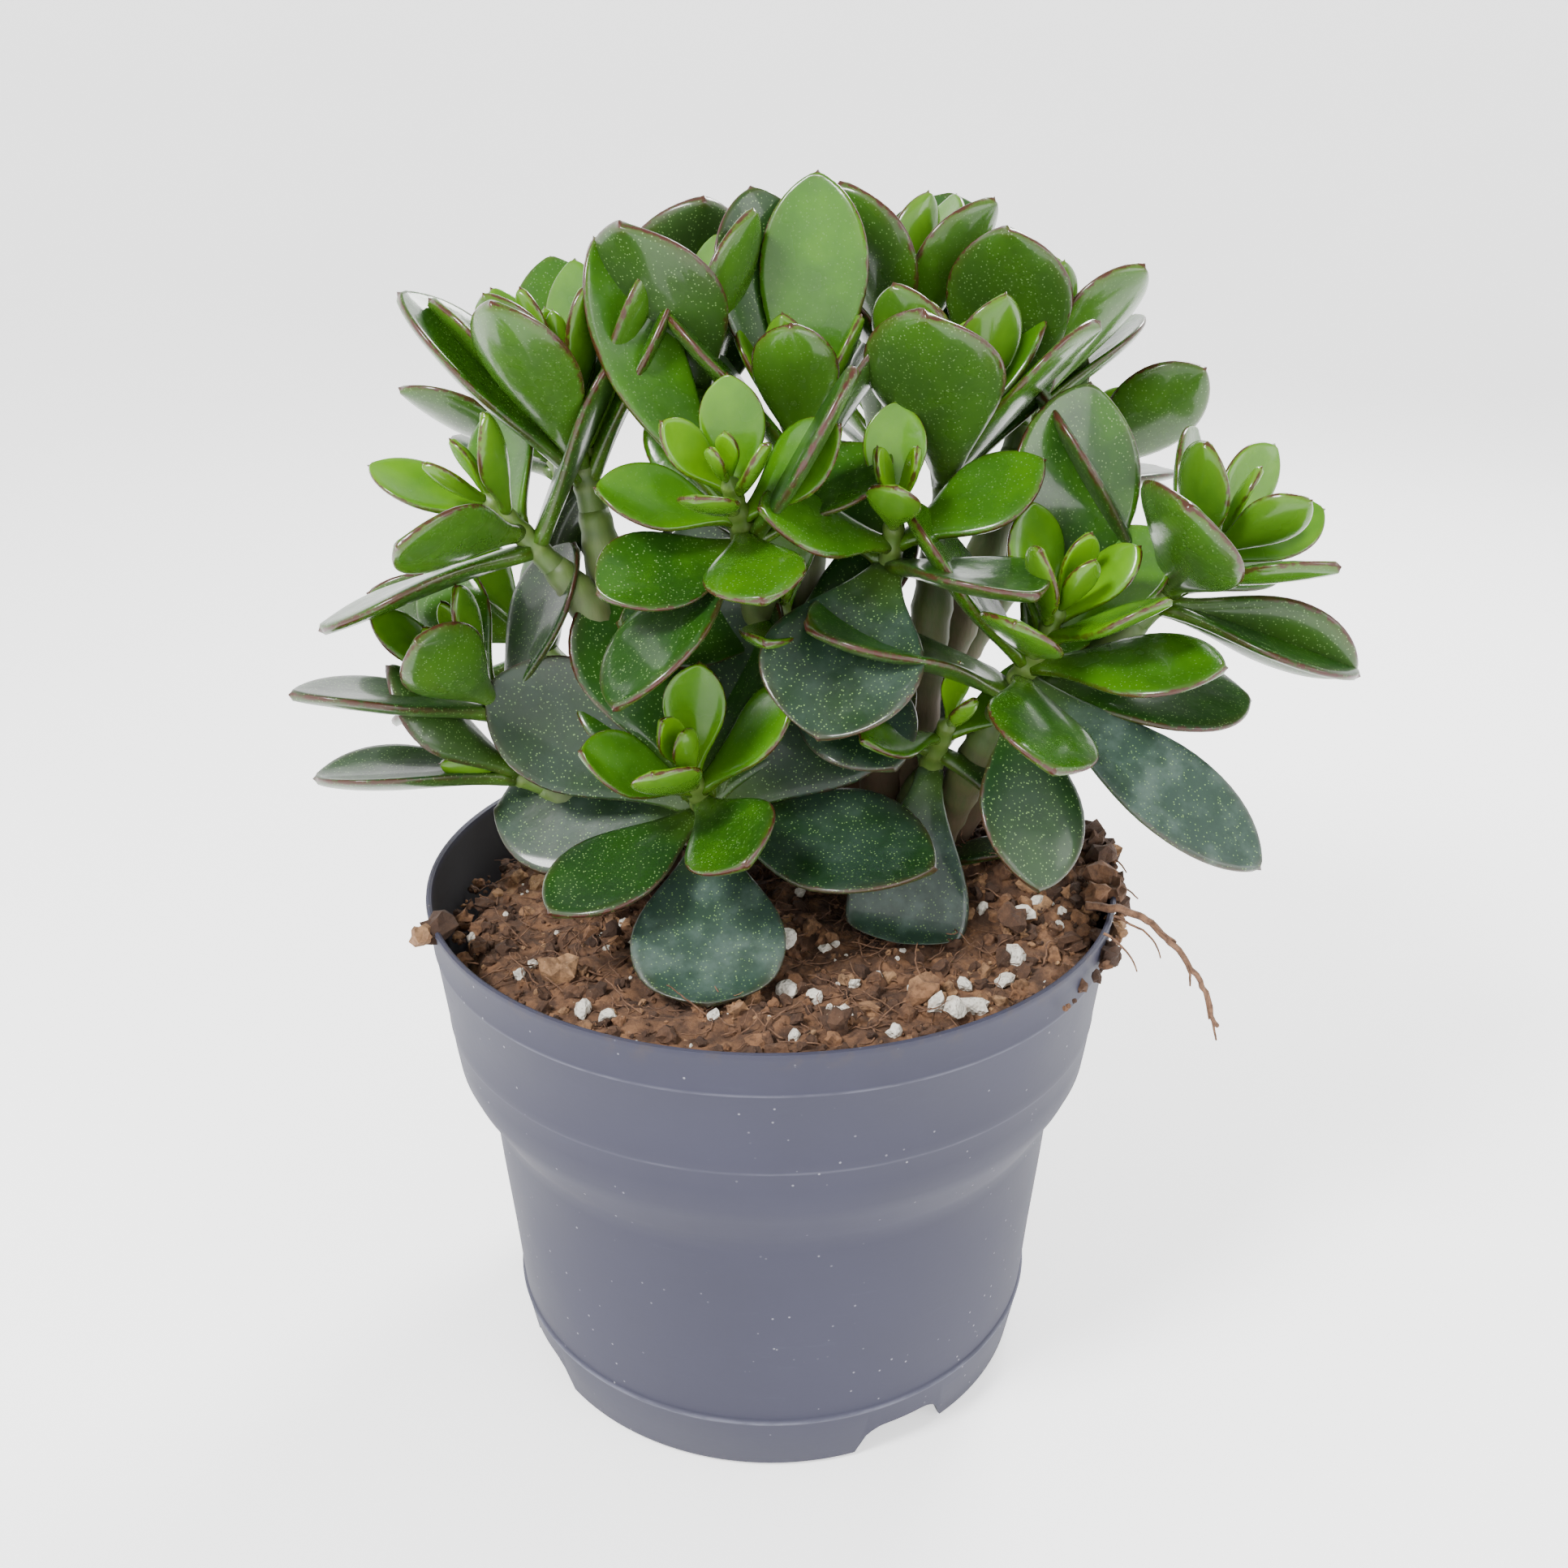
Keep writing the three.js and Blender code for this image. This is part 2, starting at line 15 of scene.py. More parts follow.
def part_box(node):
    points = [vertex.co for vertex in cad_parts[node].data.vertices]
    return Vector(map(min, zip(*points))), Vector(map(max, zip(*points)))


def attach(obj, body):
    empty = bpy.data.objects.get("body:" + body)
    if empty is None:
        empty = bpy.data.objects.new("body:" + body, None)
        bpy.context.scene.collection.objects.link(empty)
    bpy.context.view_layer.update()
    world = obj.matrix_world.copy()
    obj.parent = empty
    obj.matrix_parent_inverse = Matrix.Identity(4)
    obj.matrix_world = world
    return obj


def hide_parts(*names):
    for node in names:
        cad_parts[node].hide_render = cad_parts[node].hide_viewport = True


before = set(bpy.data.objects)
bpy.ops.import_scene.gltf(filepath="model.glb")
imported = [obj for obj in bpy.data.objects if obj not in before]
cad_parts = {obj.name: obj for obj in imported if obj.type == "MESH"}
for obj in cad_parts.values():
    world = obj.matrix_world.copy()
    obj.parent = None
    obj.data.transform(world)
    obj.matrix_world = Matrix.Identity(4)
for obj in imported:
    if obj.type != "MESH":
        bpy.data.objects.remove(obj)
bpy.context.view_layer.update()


MM = 0.001
UP = Vector((0, 0, 1))

# ------------------------------------------------------------------ sizes from the frame

POT_LOW, POT_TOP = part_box("pot")
RIM_RADIUS = POT_TOP.x
POT_HEIGHT = POT_TOP.z
POT_SIDES = 160
NOTCH_COUNT = 4
NOTCH_HEADING = -61
NOTCH_WIDTH = 21
NOTCH_HEIGHT = 7
NOTCH_START = 49
NOTCH_DEPTH = 14
DRAIN_RING = 44
DRAIN_RADIUS = 4
DRAIN_LOW = 5.6
DRAIN_HIGH = 11.6

# ------------------------------------------------------------------ the plant as it grew (mm)

TRUNKS = {
    "front": (-8, 4),
    "left": (-27, 14),
    "centre": (4, 24),
    "right": (27, 18),
    "back": (8, 46),
}
TRUNK_FOOT = 90
TRUNK_RADIUS = 5
WOOD_RADIUS = 3.6
GREEN_STEM_TOP = 1.6
GREEN_STEM_TAPER = 0.05
GREEN_BELOW = 5

LEAF_WIDEST = 0.62
LEAF_NECK = 0.22
LEAF_INSET = 1.2
FIRST_NODE = 1
YOUNG_LEAF = 0.34
YOUNG_SPREAD = 14
YOUNG_BREADTH = 0.4
BREADTH_GAIN = 0.15
YOUNG_BEND = 22
BEND_LOSS = 34
LENGTH_SCATTER = 0.1
SPREAD_SCATTER = 7
TURN_SCATTER = 12
ROLL_SCATTER = 18

# Each shoot's bud is at its tip. old is how far its lowest leaves have aged, from 0 to 1.
COMMON = dict(pairs=4, gap=4, leaf=42, open=60, lift=0.15, spiral=15, broad=1, old=0.7, strays=())


def stray(node, heading, rise, length, width, bend, roll, age):
    """A single leaf that stands out from the crossed pairs."""
    return dict(
        node=node, heading=heading, rise=rise, length=length,
        width=width, bend=bend, roll=roll, age=age,
    )


SHOOTS = [
    dict(name="front", trunk="front", tip=(-15, -20, 138), lean=(250, 60), facing=275, pairs=7,
         gap=2.8, leaf=47, open=98, lift=0.05, spiral=22, broad=1.2, old=1, strays=(
             stray(3, 62, 58, 44, 30, 5, -25, 0.6),
             stray(3, 128, 58, 48, 31, 5, 25, 0.6),
             stray(4, 168, 28, 48, 26, 0, -35, 0.8),
             stray(5, 95, 68, 58, 32, 0, 0, 0.8),
             stray(5, 18, 34, 50, 28, 0, 30, 0.8),
         )),
    dict(name="upper_left", trunk="left", tip=(-38, 6, 206), lean=(170, 80), facing=190, pairs=7,
         gap=3.2, leaf=44, open=44, spiral=12, broad=0.85, old=0.5),
    dict(name="left_middle", trunk="left", tip=(-52, -4, 186), lean=(190, 50), facing=190,
         open=70, lift=0, old=0.55),
    dict(name="left_low", trunk="left", tip=(-58, -6, 154), lean=(200, 60), facing=200,
         leaf=38, open=55, lift=0.1),
    dict(name="left_lowest", trunk="left", tip=(-54, -5, 132), lean=(190, 25), facing=190,
         pairs=2, leaf=38, open=25, lift=0),
    dict(name="centre", trunk="centre", tip=(-7, -16, 192), lean=(250, 60), facing=215, pairs=6,
         gap=3, leaf=34, open=75, lift=0, broad=1.1, old=0.5, strays=(
             stray(3, 150, 58, 56, 17, 35, 20, 0.4),
             stray(5, 232, -30, 42, 22, -15, 20, 0.6),
             stray(5, 320, 55, 42, 22, 5, -20, 0.6),
         )),
    dict(name="centre_low", trunk="centre", tip=(2, -2, 165), lean=(260, 55), facing=300,
         gap=4.5, leaf=40, open=85, lift=0, broad=1.1, old=0.9),
    dict(name="centre_back", trunk="centre", tip=(-14, 16, 208), lean=(110, 82), facing=70,
         leaf=44, open=38, broad=1.1, old=0.6),
    dict(name="top_centre", trunk="centre", tip=(6, 8, 202), lean=(250, 85), facing=10, pairs=5,
         gap=3.5, leaf=38, open=42, old=0.5, strays=(
             stray(2, 75, 78, 48, 21, -5, 0, 0.35),
             stray(3, 130, 72, 50, 24, 5, 0, 0.6),
         )),
    dict(name="top_back", trunk="back", tip=(26, 42, 215), lean=(80, 80), facing=60, pairs=5,
         leaf=46, open=35, spiral=10, broad=1.05, old=0.5),
    dict(name="top_right", trunk="right", tip=(36, 14, 202), lean=(60, 78), facing=75, pairs=6,
         gap=3.5, leaf=44, open=50, broad=1.1, old=0.5),
    dict(name="right_centre", trunk="right", tip=(23, -8, 186), lean=(280, 75), facing=300,
         leaf=36, open=80, lift=0, broad=1.15, old=0.6, strays=(
             stray(3, 245, -35, 40, 30, -20, 0, 0.85),
         )),
    dict(name="back_right", trunk="back", tip=(54, 36, 208), lean=(50, 72), facing=50, pairs=5,
         open=50, broad=1.05, old=0.5),
    dict(name="right", trunk="right", tip=(53, -14, 168), lean=(320, 65), facing=10, pairs=7,
         gap=3.2, leaf=44, open=85, lift=0.05, broad=1.1, old=0.6, strays=(
             stray(4, 60, 65, 54, 26, 0, 0, 0.5),
             stray(5, 330, -30, 56, 20, -15, 20, 1),
             stray(6, 275, -45, 40, 22, -10, 0, 0.75),
         )),
    dict(name="far_right", trunk="right", tip=(86, 0, 178), lean=(350, 50), facing=335, pairs=6,
         gap=3.5, leaf=44, open=72, lift=0.05, broad=1.15, old=0.6, strays=(
             stray(5, 345, -15, 40, 22, -10, -50, 0.6),
         )),
    dict(name="low_right", trunk="right", tip=(34, -10, 144), lean=(290, 60), facing=260,
         open=120, lift=-0.1, spiral=20, broad=0.95, old=1),
    dict(name="back_left", trunk="back", tip=(-50, 48, 190), lean=(140, 55), facing=130, leaf=44),
    dict(name="back_top", trunk="back", tip=(-22, 55, 205), lean=(110, 70), facing=100, leaf=44,
         open=55),
    dict(name="back_middle", trunk="back", tip=(25, 75, 188), lean=(80, 55), facing=80, leaf=44),
    dict(name="back_far_right", trunk="back", tip=(68, 52, 184), lean=(45, 45), facing=40,
         leaf=44),
    dict(name="back_low_left", trunk="left", tip=(-58, 40, 150), lean=(150, 35), facing=160,
         open=66),
]
SHOOTS = [{**COMMON, **shoot} for shoot in SHOOTS]

FALLEN_LEAF = dict(base=(25, 1, 105.5), heading=355, rise=6, length=28, width=9.5, bend=10, age=0.75)
ROOT = [(61, -20, 109.5), (68, -23, 110.5), (75, -26, 107), (82, -28, 99), (87, -29, 88)]
# Coarse perlite grains that lie on the soil: x, y and half their width.
COARSE_PERLITE = [
    (-34, -46, 1.6), (-29, -49, 1.9), (-10, -50, 1.2), (3, -39, 2.1), (8, -42, 1.7), (13, -50, 1.8),
    (22, -57, 1.6), (27, -42, 1.6), (30, -47, 1.9), (37, -46, 2.2), (36, -39, 1.5), (44, -36, 1.8),
    (47, -29, 2.1), (20, -36, 1.4), (53, -13, 1.6), (-48, -30, 1.5), (-5, 60, 1.9), (-44, 40, 1.7),
]
SOIL_LEVEL = 101
SOIL_RADIUS = 65
HEAP_RADIUS = 71  # how far out crumbs lie at the right, where soil is heaped over the rim
REST_HEIGHT = 2.2  # how far above the soil a resting leaf's midrib lies
REST_BLEND = 3  # how gently a leaf bends where it meets the soil, in square mm
SLOPE_REACH = 70  # the soil's slopes at the front and left are measured over this distance
MOUND = dict(x=54, y=6, rise=11, spread=17)


# ------------------------------------------------------------------ camera

def set_camera():
    """A near view from the front, looking 24 degrees down on the plant."""
    data = bpy.data.cameras.new("camera")
    data.sensor_width = 36
    data.lens = 36.1
    data.clip_start = 0.01
    camera = bpy.data.objects.new("camera", data)
    camera.location = Vector((2.6, -290, 255.7)) * MM
    camera.rotation_euler = (math.radians(90 - 24), 0, 0)
    bpy.context.scene.collection.objects.link(camera)
    bpy.context.scene.camera = camera


set_camera()


# ------------------------------------------------------------------ shader helpers

class Shader:
    """A node tree with short names for the few kinds of node that the materials share."""

    def __init__(self, name):
        self.material = bpy.data.materials.new(name)
        self.material.use_nodes = True
        self.tree = self.material.node_tree
        self.surface = self.tree.nodes["Principled BSDF"]
        self.place = self.node("ShaderNodeTexCoord").outputs["Object"]

    def node(self, kind, **settings):
        node = self.tree.nodes.new(kind)
        for key, value in settings.items():
            setattr(node, key, value)
        return node

    def plug(self, socket, value):
        if isinstance(value, bpy.types.NodeSocket):
            self.tree.links.new(value, socket)
        else:
            socket.default_value = value

    def attribute(self, name, output="Fac"):
        return self.node("ShaderNodeAttribute", attribute_name=name).outputs[output]

    def noise(self, scale, detail=4, roughness=0.55, place=None):
        node = self.node("ShaderNodeTexNoise")
        self.plug(node.inputs["Vector"], place or self.place)
        self.plug(node.inputs["Scale"], scale)
        self.plug(node.inputs["Detail"], detail)
        self.plug(node.inputs["Roughness"], roughness)
        return node.outputs["Fac"]

    def cells(self, scale, place=None, output="Distance"):
        node = self.node("ShaderNodeTexVoronoi")
        self.plug(node.inputs["Vector"], place or self.place)
        self.plug(node.inputs["Scale"], scale)
        return node.outputs[output]

    def maths(self, operation, a, b=0.0):
        node = self.node("ShaderNodeMath", operation=operation, use_clamp=False)
        self.plug(node.inputs[0], a)
        self.plug(node.inputs[1], b)
        return node.outputs[0]

    def span(self, value, low, high, to_low=0.0, to_high=1.0):
        """value carried from low..high to to_low..to_high, and held there at both ends."""
        node = self.node("ShaderNodeMapRange", interpolation_type="SMOOTHSTEP")
        self.plug(node.inputs["Value"], value)
        self.plug(node.inputs["From Min"], low)
        self.plug(node.inputs["From Max"], high)
        self.plug(node.inputs["To Min"], to_low)
        self.plug(node.inputs["To Max"], to_high)
        return node.outputs["Result"]

    def ramp(self, value, stops):
        node = self.node("ShaderNodeValToRGB")
        self.plug(node.inputs["Fac"], value)
        elements = node.color_ramp.elements
        while len(elements) < len(stops):
            elements.new(0.5)
        for element, (position, colour) in zip(elements, stops):
            element.position = position
            element.color = (*colour, 1)
        return node.outputs["Color"]

    def mix(self, share, a, b, blend="MIX"):
        node = self.node("ShaderNodeMix", data_type="RGBA", blend_type=blend)
        self.plug(node.inputs["Factor"], share)
        self.plug(node.inputs[6], a if isinstance(a, bpy.types.NodeSocket) else (*a, 1))
        self.plug(node.inputs[7], b if isinstance(b, bpy.types.NodeSocket) else (*b, 1))
        return node.outputs[2]

    def bump(self, height, strength, distance, below=None):
        node = self.node("ShaderNodeBump")
        self.plug(node.inputs["Height"], height)
        self.plug(node.inputs["Strength"], strength)
        self.plug(node.inputs["Distance"], distance)
        if below is not None:
            self.plug(node.inputs["Normal"], below)
        return node.outputs["Normal"]

    def finish(self, **inputs):
        for name, value in inputs.items():
            if isinstance(value, tuple):
                value = (*value, 1)
            self.plug(self.surface.inputs[name.replace("_", " ").title().replace("Ior", "IOR")], value)
        return self.material


# ------------------------------------------------------------------ materials

def leaf_material():
    """Waxy leaf: lime when young, dark and dotted later, blue-green with bloom at last, red-edged."""
    s = Shader("waxy_leaf")
    age = s.attribute("leaf_age")
    edge = s.attribute("leaf_edge")
    along = s.attribute("leaf_along")
    upper = s.attribute("leaf_upper")
    mottle = s.noise(90, 3)
    aged = s.maths("ADD", age, s.span(mottle, 0.3, 0.7, -0.07, 0.07))
    flesh = s.ramp(aged, [
        (0.0, (0.105, 0.265, 0.002)),
        (0.3, (0.038, 0.130, 0.002)),
        (0.55, (0.011, 0.048, 0.003)),
        (0.8, (0.007, 0.024, 0.007)),
        (1.0, (0.020, 0.042, 0.030)),
    ])
    pale_back = s.mix(0.35, flesh, (0.050, 0.100, 0.018))
    flesh = s.mix(s.span(upper, 0.35, 0.65), pale_back, flesh)
    neck = s.span(along, 0.0, 0.35, 0.55, 0.0)
    flesh = s.mix(neck, flesh, (0.070, 0.150, 0.012))
    cell = s.cells(1450)
    dots = s.maths("MULTIPLY", s.span(cell, 0.12, 0.26, 1, 0), s.span(age, 0.2, 0.6, 0.05, 0.85))
    flesh = s.mix(dots, flesh, (0.150, 0.260, 0.085))
    bloom = s.maths("MULTIPLY", s.span(s.noise(140, 5, 0.6), 0.42, 0.72), s.span(age, 0.75, 1.0, 0, 0.4))
    flesh = s.mix(bloom, flesh, (0.115, 0.165, 0.142))
    ragged = s.maths("ADD", edge, s.span(s.noise(520, 4, 0.65), 0.25, 0.75, -0.035, 0.035))
    blush = s.maths("MULTIPLY", s.span(ragged, 0.70, 1.0, 0, 0.22), s.span(along, 0.55, 1.0))
    flesh = s.mix(blush, flesh, (0.075, 0.024, 0.008))
    margin = s.maths("MULTIPLY", s.span(ragged, 0.950, 0.995), s.span(along, 0.15, 0.75, 0.25, 0.9))
    margin = s.maths("MULTIPLY", margin, s.span(age, 0.6, 1.0, 1, 0.35))
    flesh = s.mix(margin, flesh, (0.046, 0.007, 0.006))
    rough = s.maths("ADD", s.span(age, 0.3, 1.0, 0.22, 0.46), s.span(mottle, 0.3, 0.7, -0.04, 0.07))
    relief = s.bump(s.noise(210, 3), 0.22, 0.0008)
    s.surface.inputs["Subsurface Weight"].default_value = 0.12
    s.surface.inputs["Subsurface Radius"].default_value = (0.5, 1.0, 0.2)
    s.surface.inputs["Subsurface Scale"].default_value = 0.0015
    s.surface.inputs["Specular IOR Level"].default_value = 0.3
    s.surface.inputs["Coat Weight"].default_value = 0.35
    s.surface.inputs["Coat Roughness"].default_value = 0.10
    return s.finish(base_color=flesh, roughness=rough, normal=relief, ior=1.45)


def stem_material():
    """Stem skin: green near the bud, olive and then pinkish-brown cork towards the soil."""
    s = Shader("stem_skin")
    wood = s.attribute("stem_wood")
    joint = s.attribute("stem_joint")
    stretch = s.node("ShaderNodeMapping")
    s.plug(stretch.inputs["Vector"], s.place)
    s.plug(stretch.inputs["Scale"], (1, 1, 0.25))
    grain = s.noise(420, 6, 0.65, stretch.outputs["Vector"])
    blotch = s.noise(90, 3)
    state = s.maths("ADD", wood, s.span(blotch, 0.3, 0.7, -0.12, 0.12))
    skin = s.ramp(state, [
        (0.0, (0.075, 0.155, 0.015)),
        (0.3, (0.045, 0.090, 0.014)),
        (0.6, (0.060, 0.065, 0.024)),
        (1.0, (0.120, 0.072, 0.045)),
    ])
    cork = s.mix(s.span(grain, 0.35, 0.7), (0.120, 0.072, 0.045), skin)
    skin = s.mix(s.span(wood, 0.25, 0.8, 0.1, 0.75), skin, cork)
    skin = s.mix(s.maths("MULTIPLY", joint, 0.5), skin, (0.110, 0.160, 0.032))
    relief = s.bump(grain, 0.35, 0.0005)
    relief = s.bump(blotch, 0.25, 0.0010, relief)
    return s.finish(base_color=skin, roughness=s.span(wood, 0, 1, 0.45, 0.85), normal=relief)


def pot_material():
    """Grey recycled polypropylene: faint flow marks, scuffs, dust specks, soil film at the rim, painted
    highlights on the ridges, painted shade inside.
    """
    s = Shader("pot_plastic")
    height = s.node("ShaderNodeSeparateXYZ")
    s.plug(height.inputs[0], s.place)
    level = s.maths("DIVIDE", height.outputs["Z"], POT_HEIGHT)
    cloud = s.noise(22, 4)
    plastic = s.mix(s.span(cloud, 0.3, 0.7), (0.026, 0.026, 0.044), (0.033, 0.033, 0.054))
    stretch = s.node("ShaderNodeMapping")
    s.plug(stretch.inputs["Vector"], s.place)
    s.plug(stretch.inputs["Scale"], (1, 1, 7))
    streak = s.noise(60, 6, 0.7, stretch.outputs["Vector"])
    scuff = s.span(streak, 0.60, 0.76, 0, 0.35)
    plastic = s.mix(scuff, plastic, (0.060, 0.062, 0.088))
    # Painted highlight: lighter lines along the foot ridge, the shoulder and the rim lip, broken into
    # patches by the streaks.
    for ring, half, ridge_highlight in ((13.1, 0.6, 0.9), (82.0, 0.5, 0.35), (99.6, 0.5, 0.6)):
        away = s.maths("ABSOLUTE", s.maths("SUBTRACT", height.outputs["Z"], ring * MM))
        patchy_highlight = s.span(streak, 0.40, 0.62, 0.35 * ridge_highlight, ridge_highlight)
        plastic = s.mix(s.maths("MULTIPLY", s.span(away, 0, half * MM, 1, 0), patchy_highlight), plastic,
                        (0.115, 0.118, 0.155))
    grit = s.cells(330)
    chosen = s.noise(35, 2)
    specks = s.maths("MULTIPLY", s.span(grit, 0.04, 0.10, 1, 0), s.span(chosen, 0.45, 0.60))
    plastic = s.mix(s.maths("MULTIPLY", specks, 0.7), plastic, (0.300, 0.300, 0.330))
    film = s.maths("MULTIPLY", s.span(level, 0.95, 1.0, 0, 0.3), s.span(s.noise(260, 5), 0.50, 0.7))
    plastic = s.mix(film, plastic, (0.060, 0.045, 0.036))
    # Painted shade: the inner wall below the rim lip is darker where shade falls inside the pot.
    inner_shade = s.attribute("inside_shade")
    plastic = s.mix(inner_shade, plastic, (0.022, 0.021, 0.023))
    rough = s.maths("ADD", s.span(cloud, 0.3, 0.7, 0.56, 0.66), s.maths("MULTIPLY", scuff, 0.3))
    relief = s.bump(s.noise(900, 2), 0.06, 0.0002)
    relief = s.bump(streak, 0.05, 0.0004, relief)
    s.surface.inputs["Specular IOR Level"].default_value = 0.25
    return s.finish(base_color=plastic, roughness=rough, normal=relief)


def soil_material():
    """Crumbled peat and coir: many browns, with painted shade in the hollows."""
    s = Shader("peat_crumbs")
    tint = s.attribute("soil_tint")
    grain = s.noise(520, 8, 0.7)
    patch = s.noise(70, 4)
    mixed = s.maths("ADD", s.maths("MULTIPLY", tint, 0.55), s.maths("MULTIPLY", patch, 0.45))
    earth = s.ramp(mixed, [
        (0.15, (0.026, 0.012, 0.006)),
        (0.42, (0.090, 0.044, 0.023)),
        (0.62, (0.215, 0.104, 0.048)),
        (0.85, (0.400, 0.240, 0.120)),
    ])
    # Painted shade: darker where the grain's bump sinks, in the hollows between crumbs.
    earth = s.mix(s.span(grain, 0.35, 0.62, 0.65, 0), earth, (0.028, 0.013, 0.008))
    flecks = s.span(s.cells(900), 0.08, 0.16, 0.5, 0)
    earth = s.mix(s.maths("MULTIPLY", flecks, s.span(patch, 0.5, 0.65)), earth, (0.420, 0.300, 0.190))
    relief = s.bump(grain, 0.8, 0.0009)
    return s.finish(base_color=earth, roughness=0.95, normal=relief)


def perlite_material():
    """Porous off-white grains with painted shade in their pores, partly dusted with soil."""
    s = Shader("perlite_foam")
    pores = s.cells(1500)
    dust = s.noise(380, 5)
    # Painted shade: greyer in the pits that the pore bump sinks in.
    foam = s.mix(s.span(pores, 0.05, 0.35), (0.330, 0.300, 0.250), (0.590, 0.560, 0.490))
    foam = s.mix(s.span(dust, 0.50, 0.72, 0, 0.6), foam, (0.250, 0.170, 0.110))
    return s.finish(base_color=foam, roughness=0.92, normal=s.bump(pores, 0.6, 0.0006))


def fibre_material():
    """Dry reddish-brown coir and roots."""
    s = Shader("root_fibre")
    grain = s.noise(700, 5, 0.7)
    fibre = s.mix(s.span(grain, 0.3, 0.7), (0.050, 0.023, 0.013), (0.190, 0.098, 0.052))
    return s.finish(base_color=fibre, roughness=0.9, normal=s.bump(grain, 0.5, 0.0004))


# ------------------------------------------------------------------ mesh helpers

def add_mesh(name, points, faces, material, floats=None, smooth=True):
    """A mesh object in the row frame; floats holds a number for each point, by attribute name."""
    mesh = bpy.data.meshes.new(name)
    mesh.from_pydata([tuple(point) for point in points], [], faces)
    for key, values in (floats or {}).items():
        mesh.attributes.new(key, "FLOAT", "POINT").data.foreach_set("value", values)
    mesh.polygons.foreach_set("use_smooth", [smooth] * len(mesh.polygons))
    mesh.materials.append(material)
    piece = bpy.data.objects.new(name, mesh)
    bpy.context.scene.collection.objects.link(piece)
    return piece


def ring_faces(rings, sides, close_start=True, close_end=True):
    """Quads between rings of points, with a face across each closed end."""
    faces = []
    for ring in range(rings - 1):
        for k in range(sides):
            a = ring * sides + k
            b = ring * sides + (k + 1) % sides
            faces.append((a, b, b + sides, a + sides))
    last = (rings - 1) * sides
    if close_start:
        faces.append(tuple(range(sides - 1, -1, -1)))
    if close_end:
        faces.append(tuple(range(last, last + sides)))
    return faces


def ring_points(radius, height, sides):
    """A level ring of points about the pot's axis, from sizes in mm."""
    turns = [2 * math.pi * k / sides for k in range(sides)]
    return [Vector((radius * math.cos(turn), radius * math.sin(turn), height)) * MM for turn in turns]


def place(piece, slot, *nodes):
    """Fixes a piece to the body and hides the CAD nodes that it stands for; slot is not used."""
    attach(piece, "root")
    if nodes:
        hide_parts(*nodes)
    return piece


def direction(heading, rise):
    """The unit vector along a compass heading and a rise above level, in degrees."""
    turn = math.radians(heading)
    tilt = math.radians(rise)
    return Vector((math.cos(tilt) * math.cos(turn), math.cos(tilt) * math.sin(turn), math.sin(tilt)))


def turned(vector, axis, degrees):
    return Matrix.Rotation(math.radians(degrees), 3, axis) @ vector


def scatter(a, b):
    """A repeatable scatter between -1 and 1 for two whole numbers."""
    wave = 437.585 * math.sin(12.9898 * a + 78.233 * b)
    return 2 * (wave - math.floor(wave)) - 1


# ------------------------------------------------------------------ leaves

def leaf_outline(t):
    """A leaf's half width at t of its length, as a share of its greatest."""
    if t < LEAF_WIDEST:
        u = t / LEAF_WIDEST
        return LEAF_NECK + (1 - LEAF_NECK) * u * u * (3 - 2 * u)
    u = (t - LEAF_WIDEST) / (1 - LEAF_WIDEST)
    return (1 - u ** 2.3) ** 0.72


LEAF_RINGS = 22
LEAF_SIDES = 24
LEAF_STATIONS = [math.sin(math.pi / 2 * i / LEAF_RINGS) for i in range(LEAF_RINGS)]


def leaf_frame(leaf):
    """The directions of a leaf's upper face and of its left side."""
    upper = (leaf["axis"] - leaf["along"] * leaf["axis"].dot(leaf["along"])).normalized()
    upper = turned(upper, leaf["along"], leaf["roll"])
    return upper, upper.cross(leaf["along"])


def rested(point):
    """A point of a midrib, lifted smoothly onto the soil where it would sink into it."""
    if math.hypot(point.x, point.y) > SOIL_RADIUS:
        return point
    rest = soil_height(point.x, point.y) + REST_HEIGHT
    clear = point.z - rest
    lifted = rest + 0.5 * (clear + math.sqrt(clear * clear + REST_BLEND))
    return Vector((point.x, point.y, lifted))


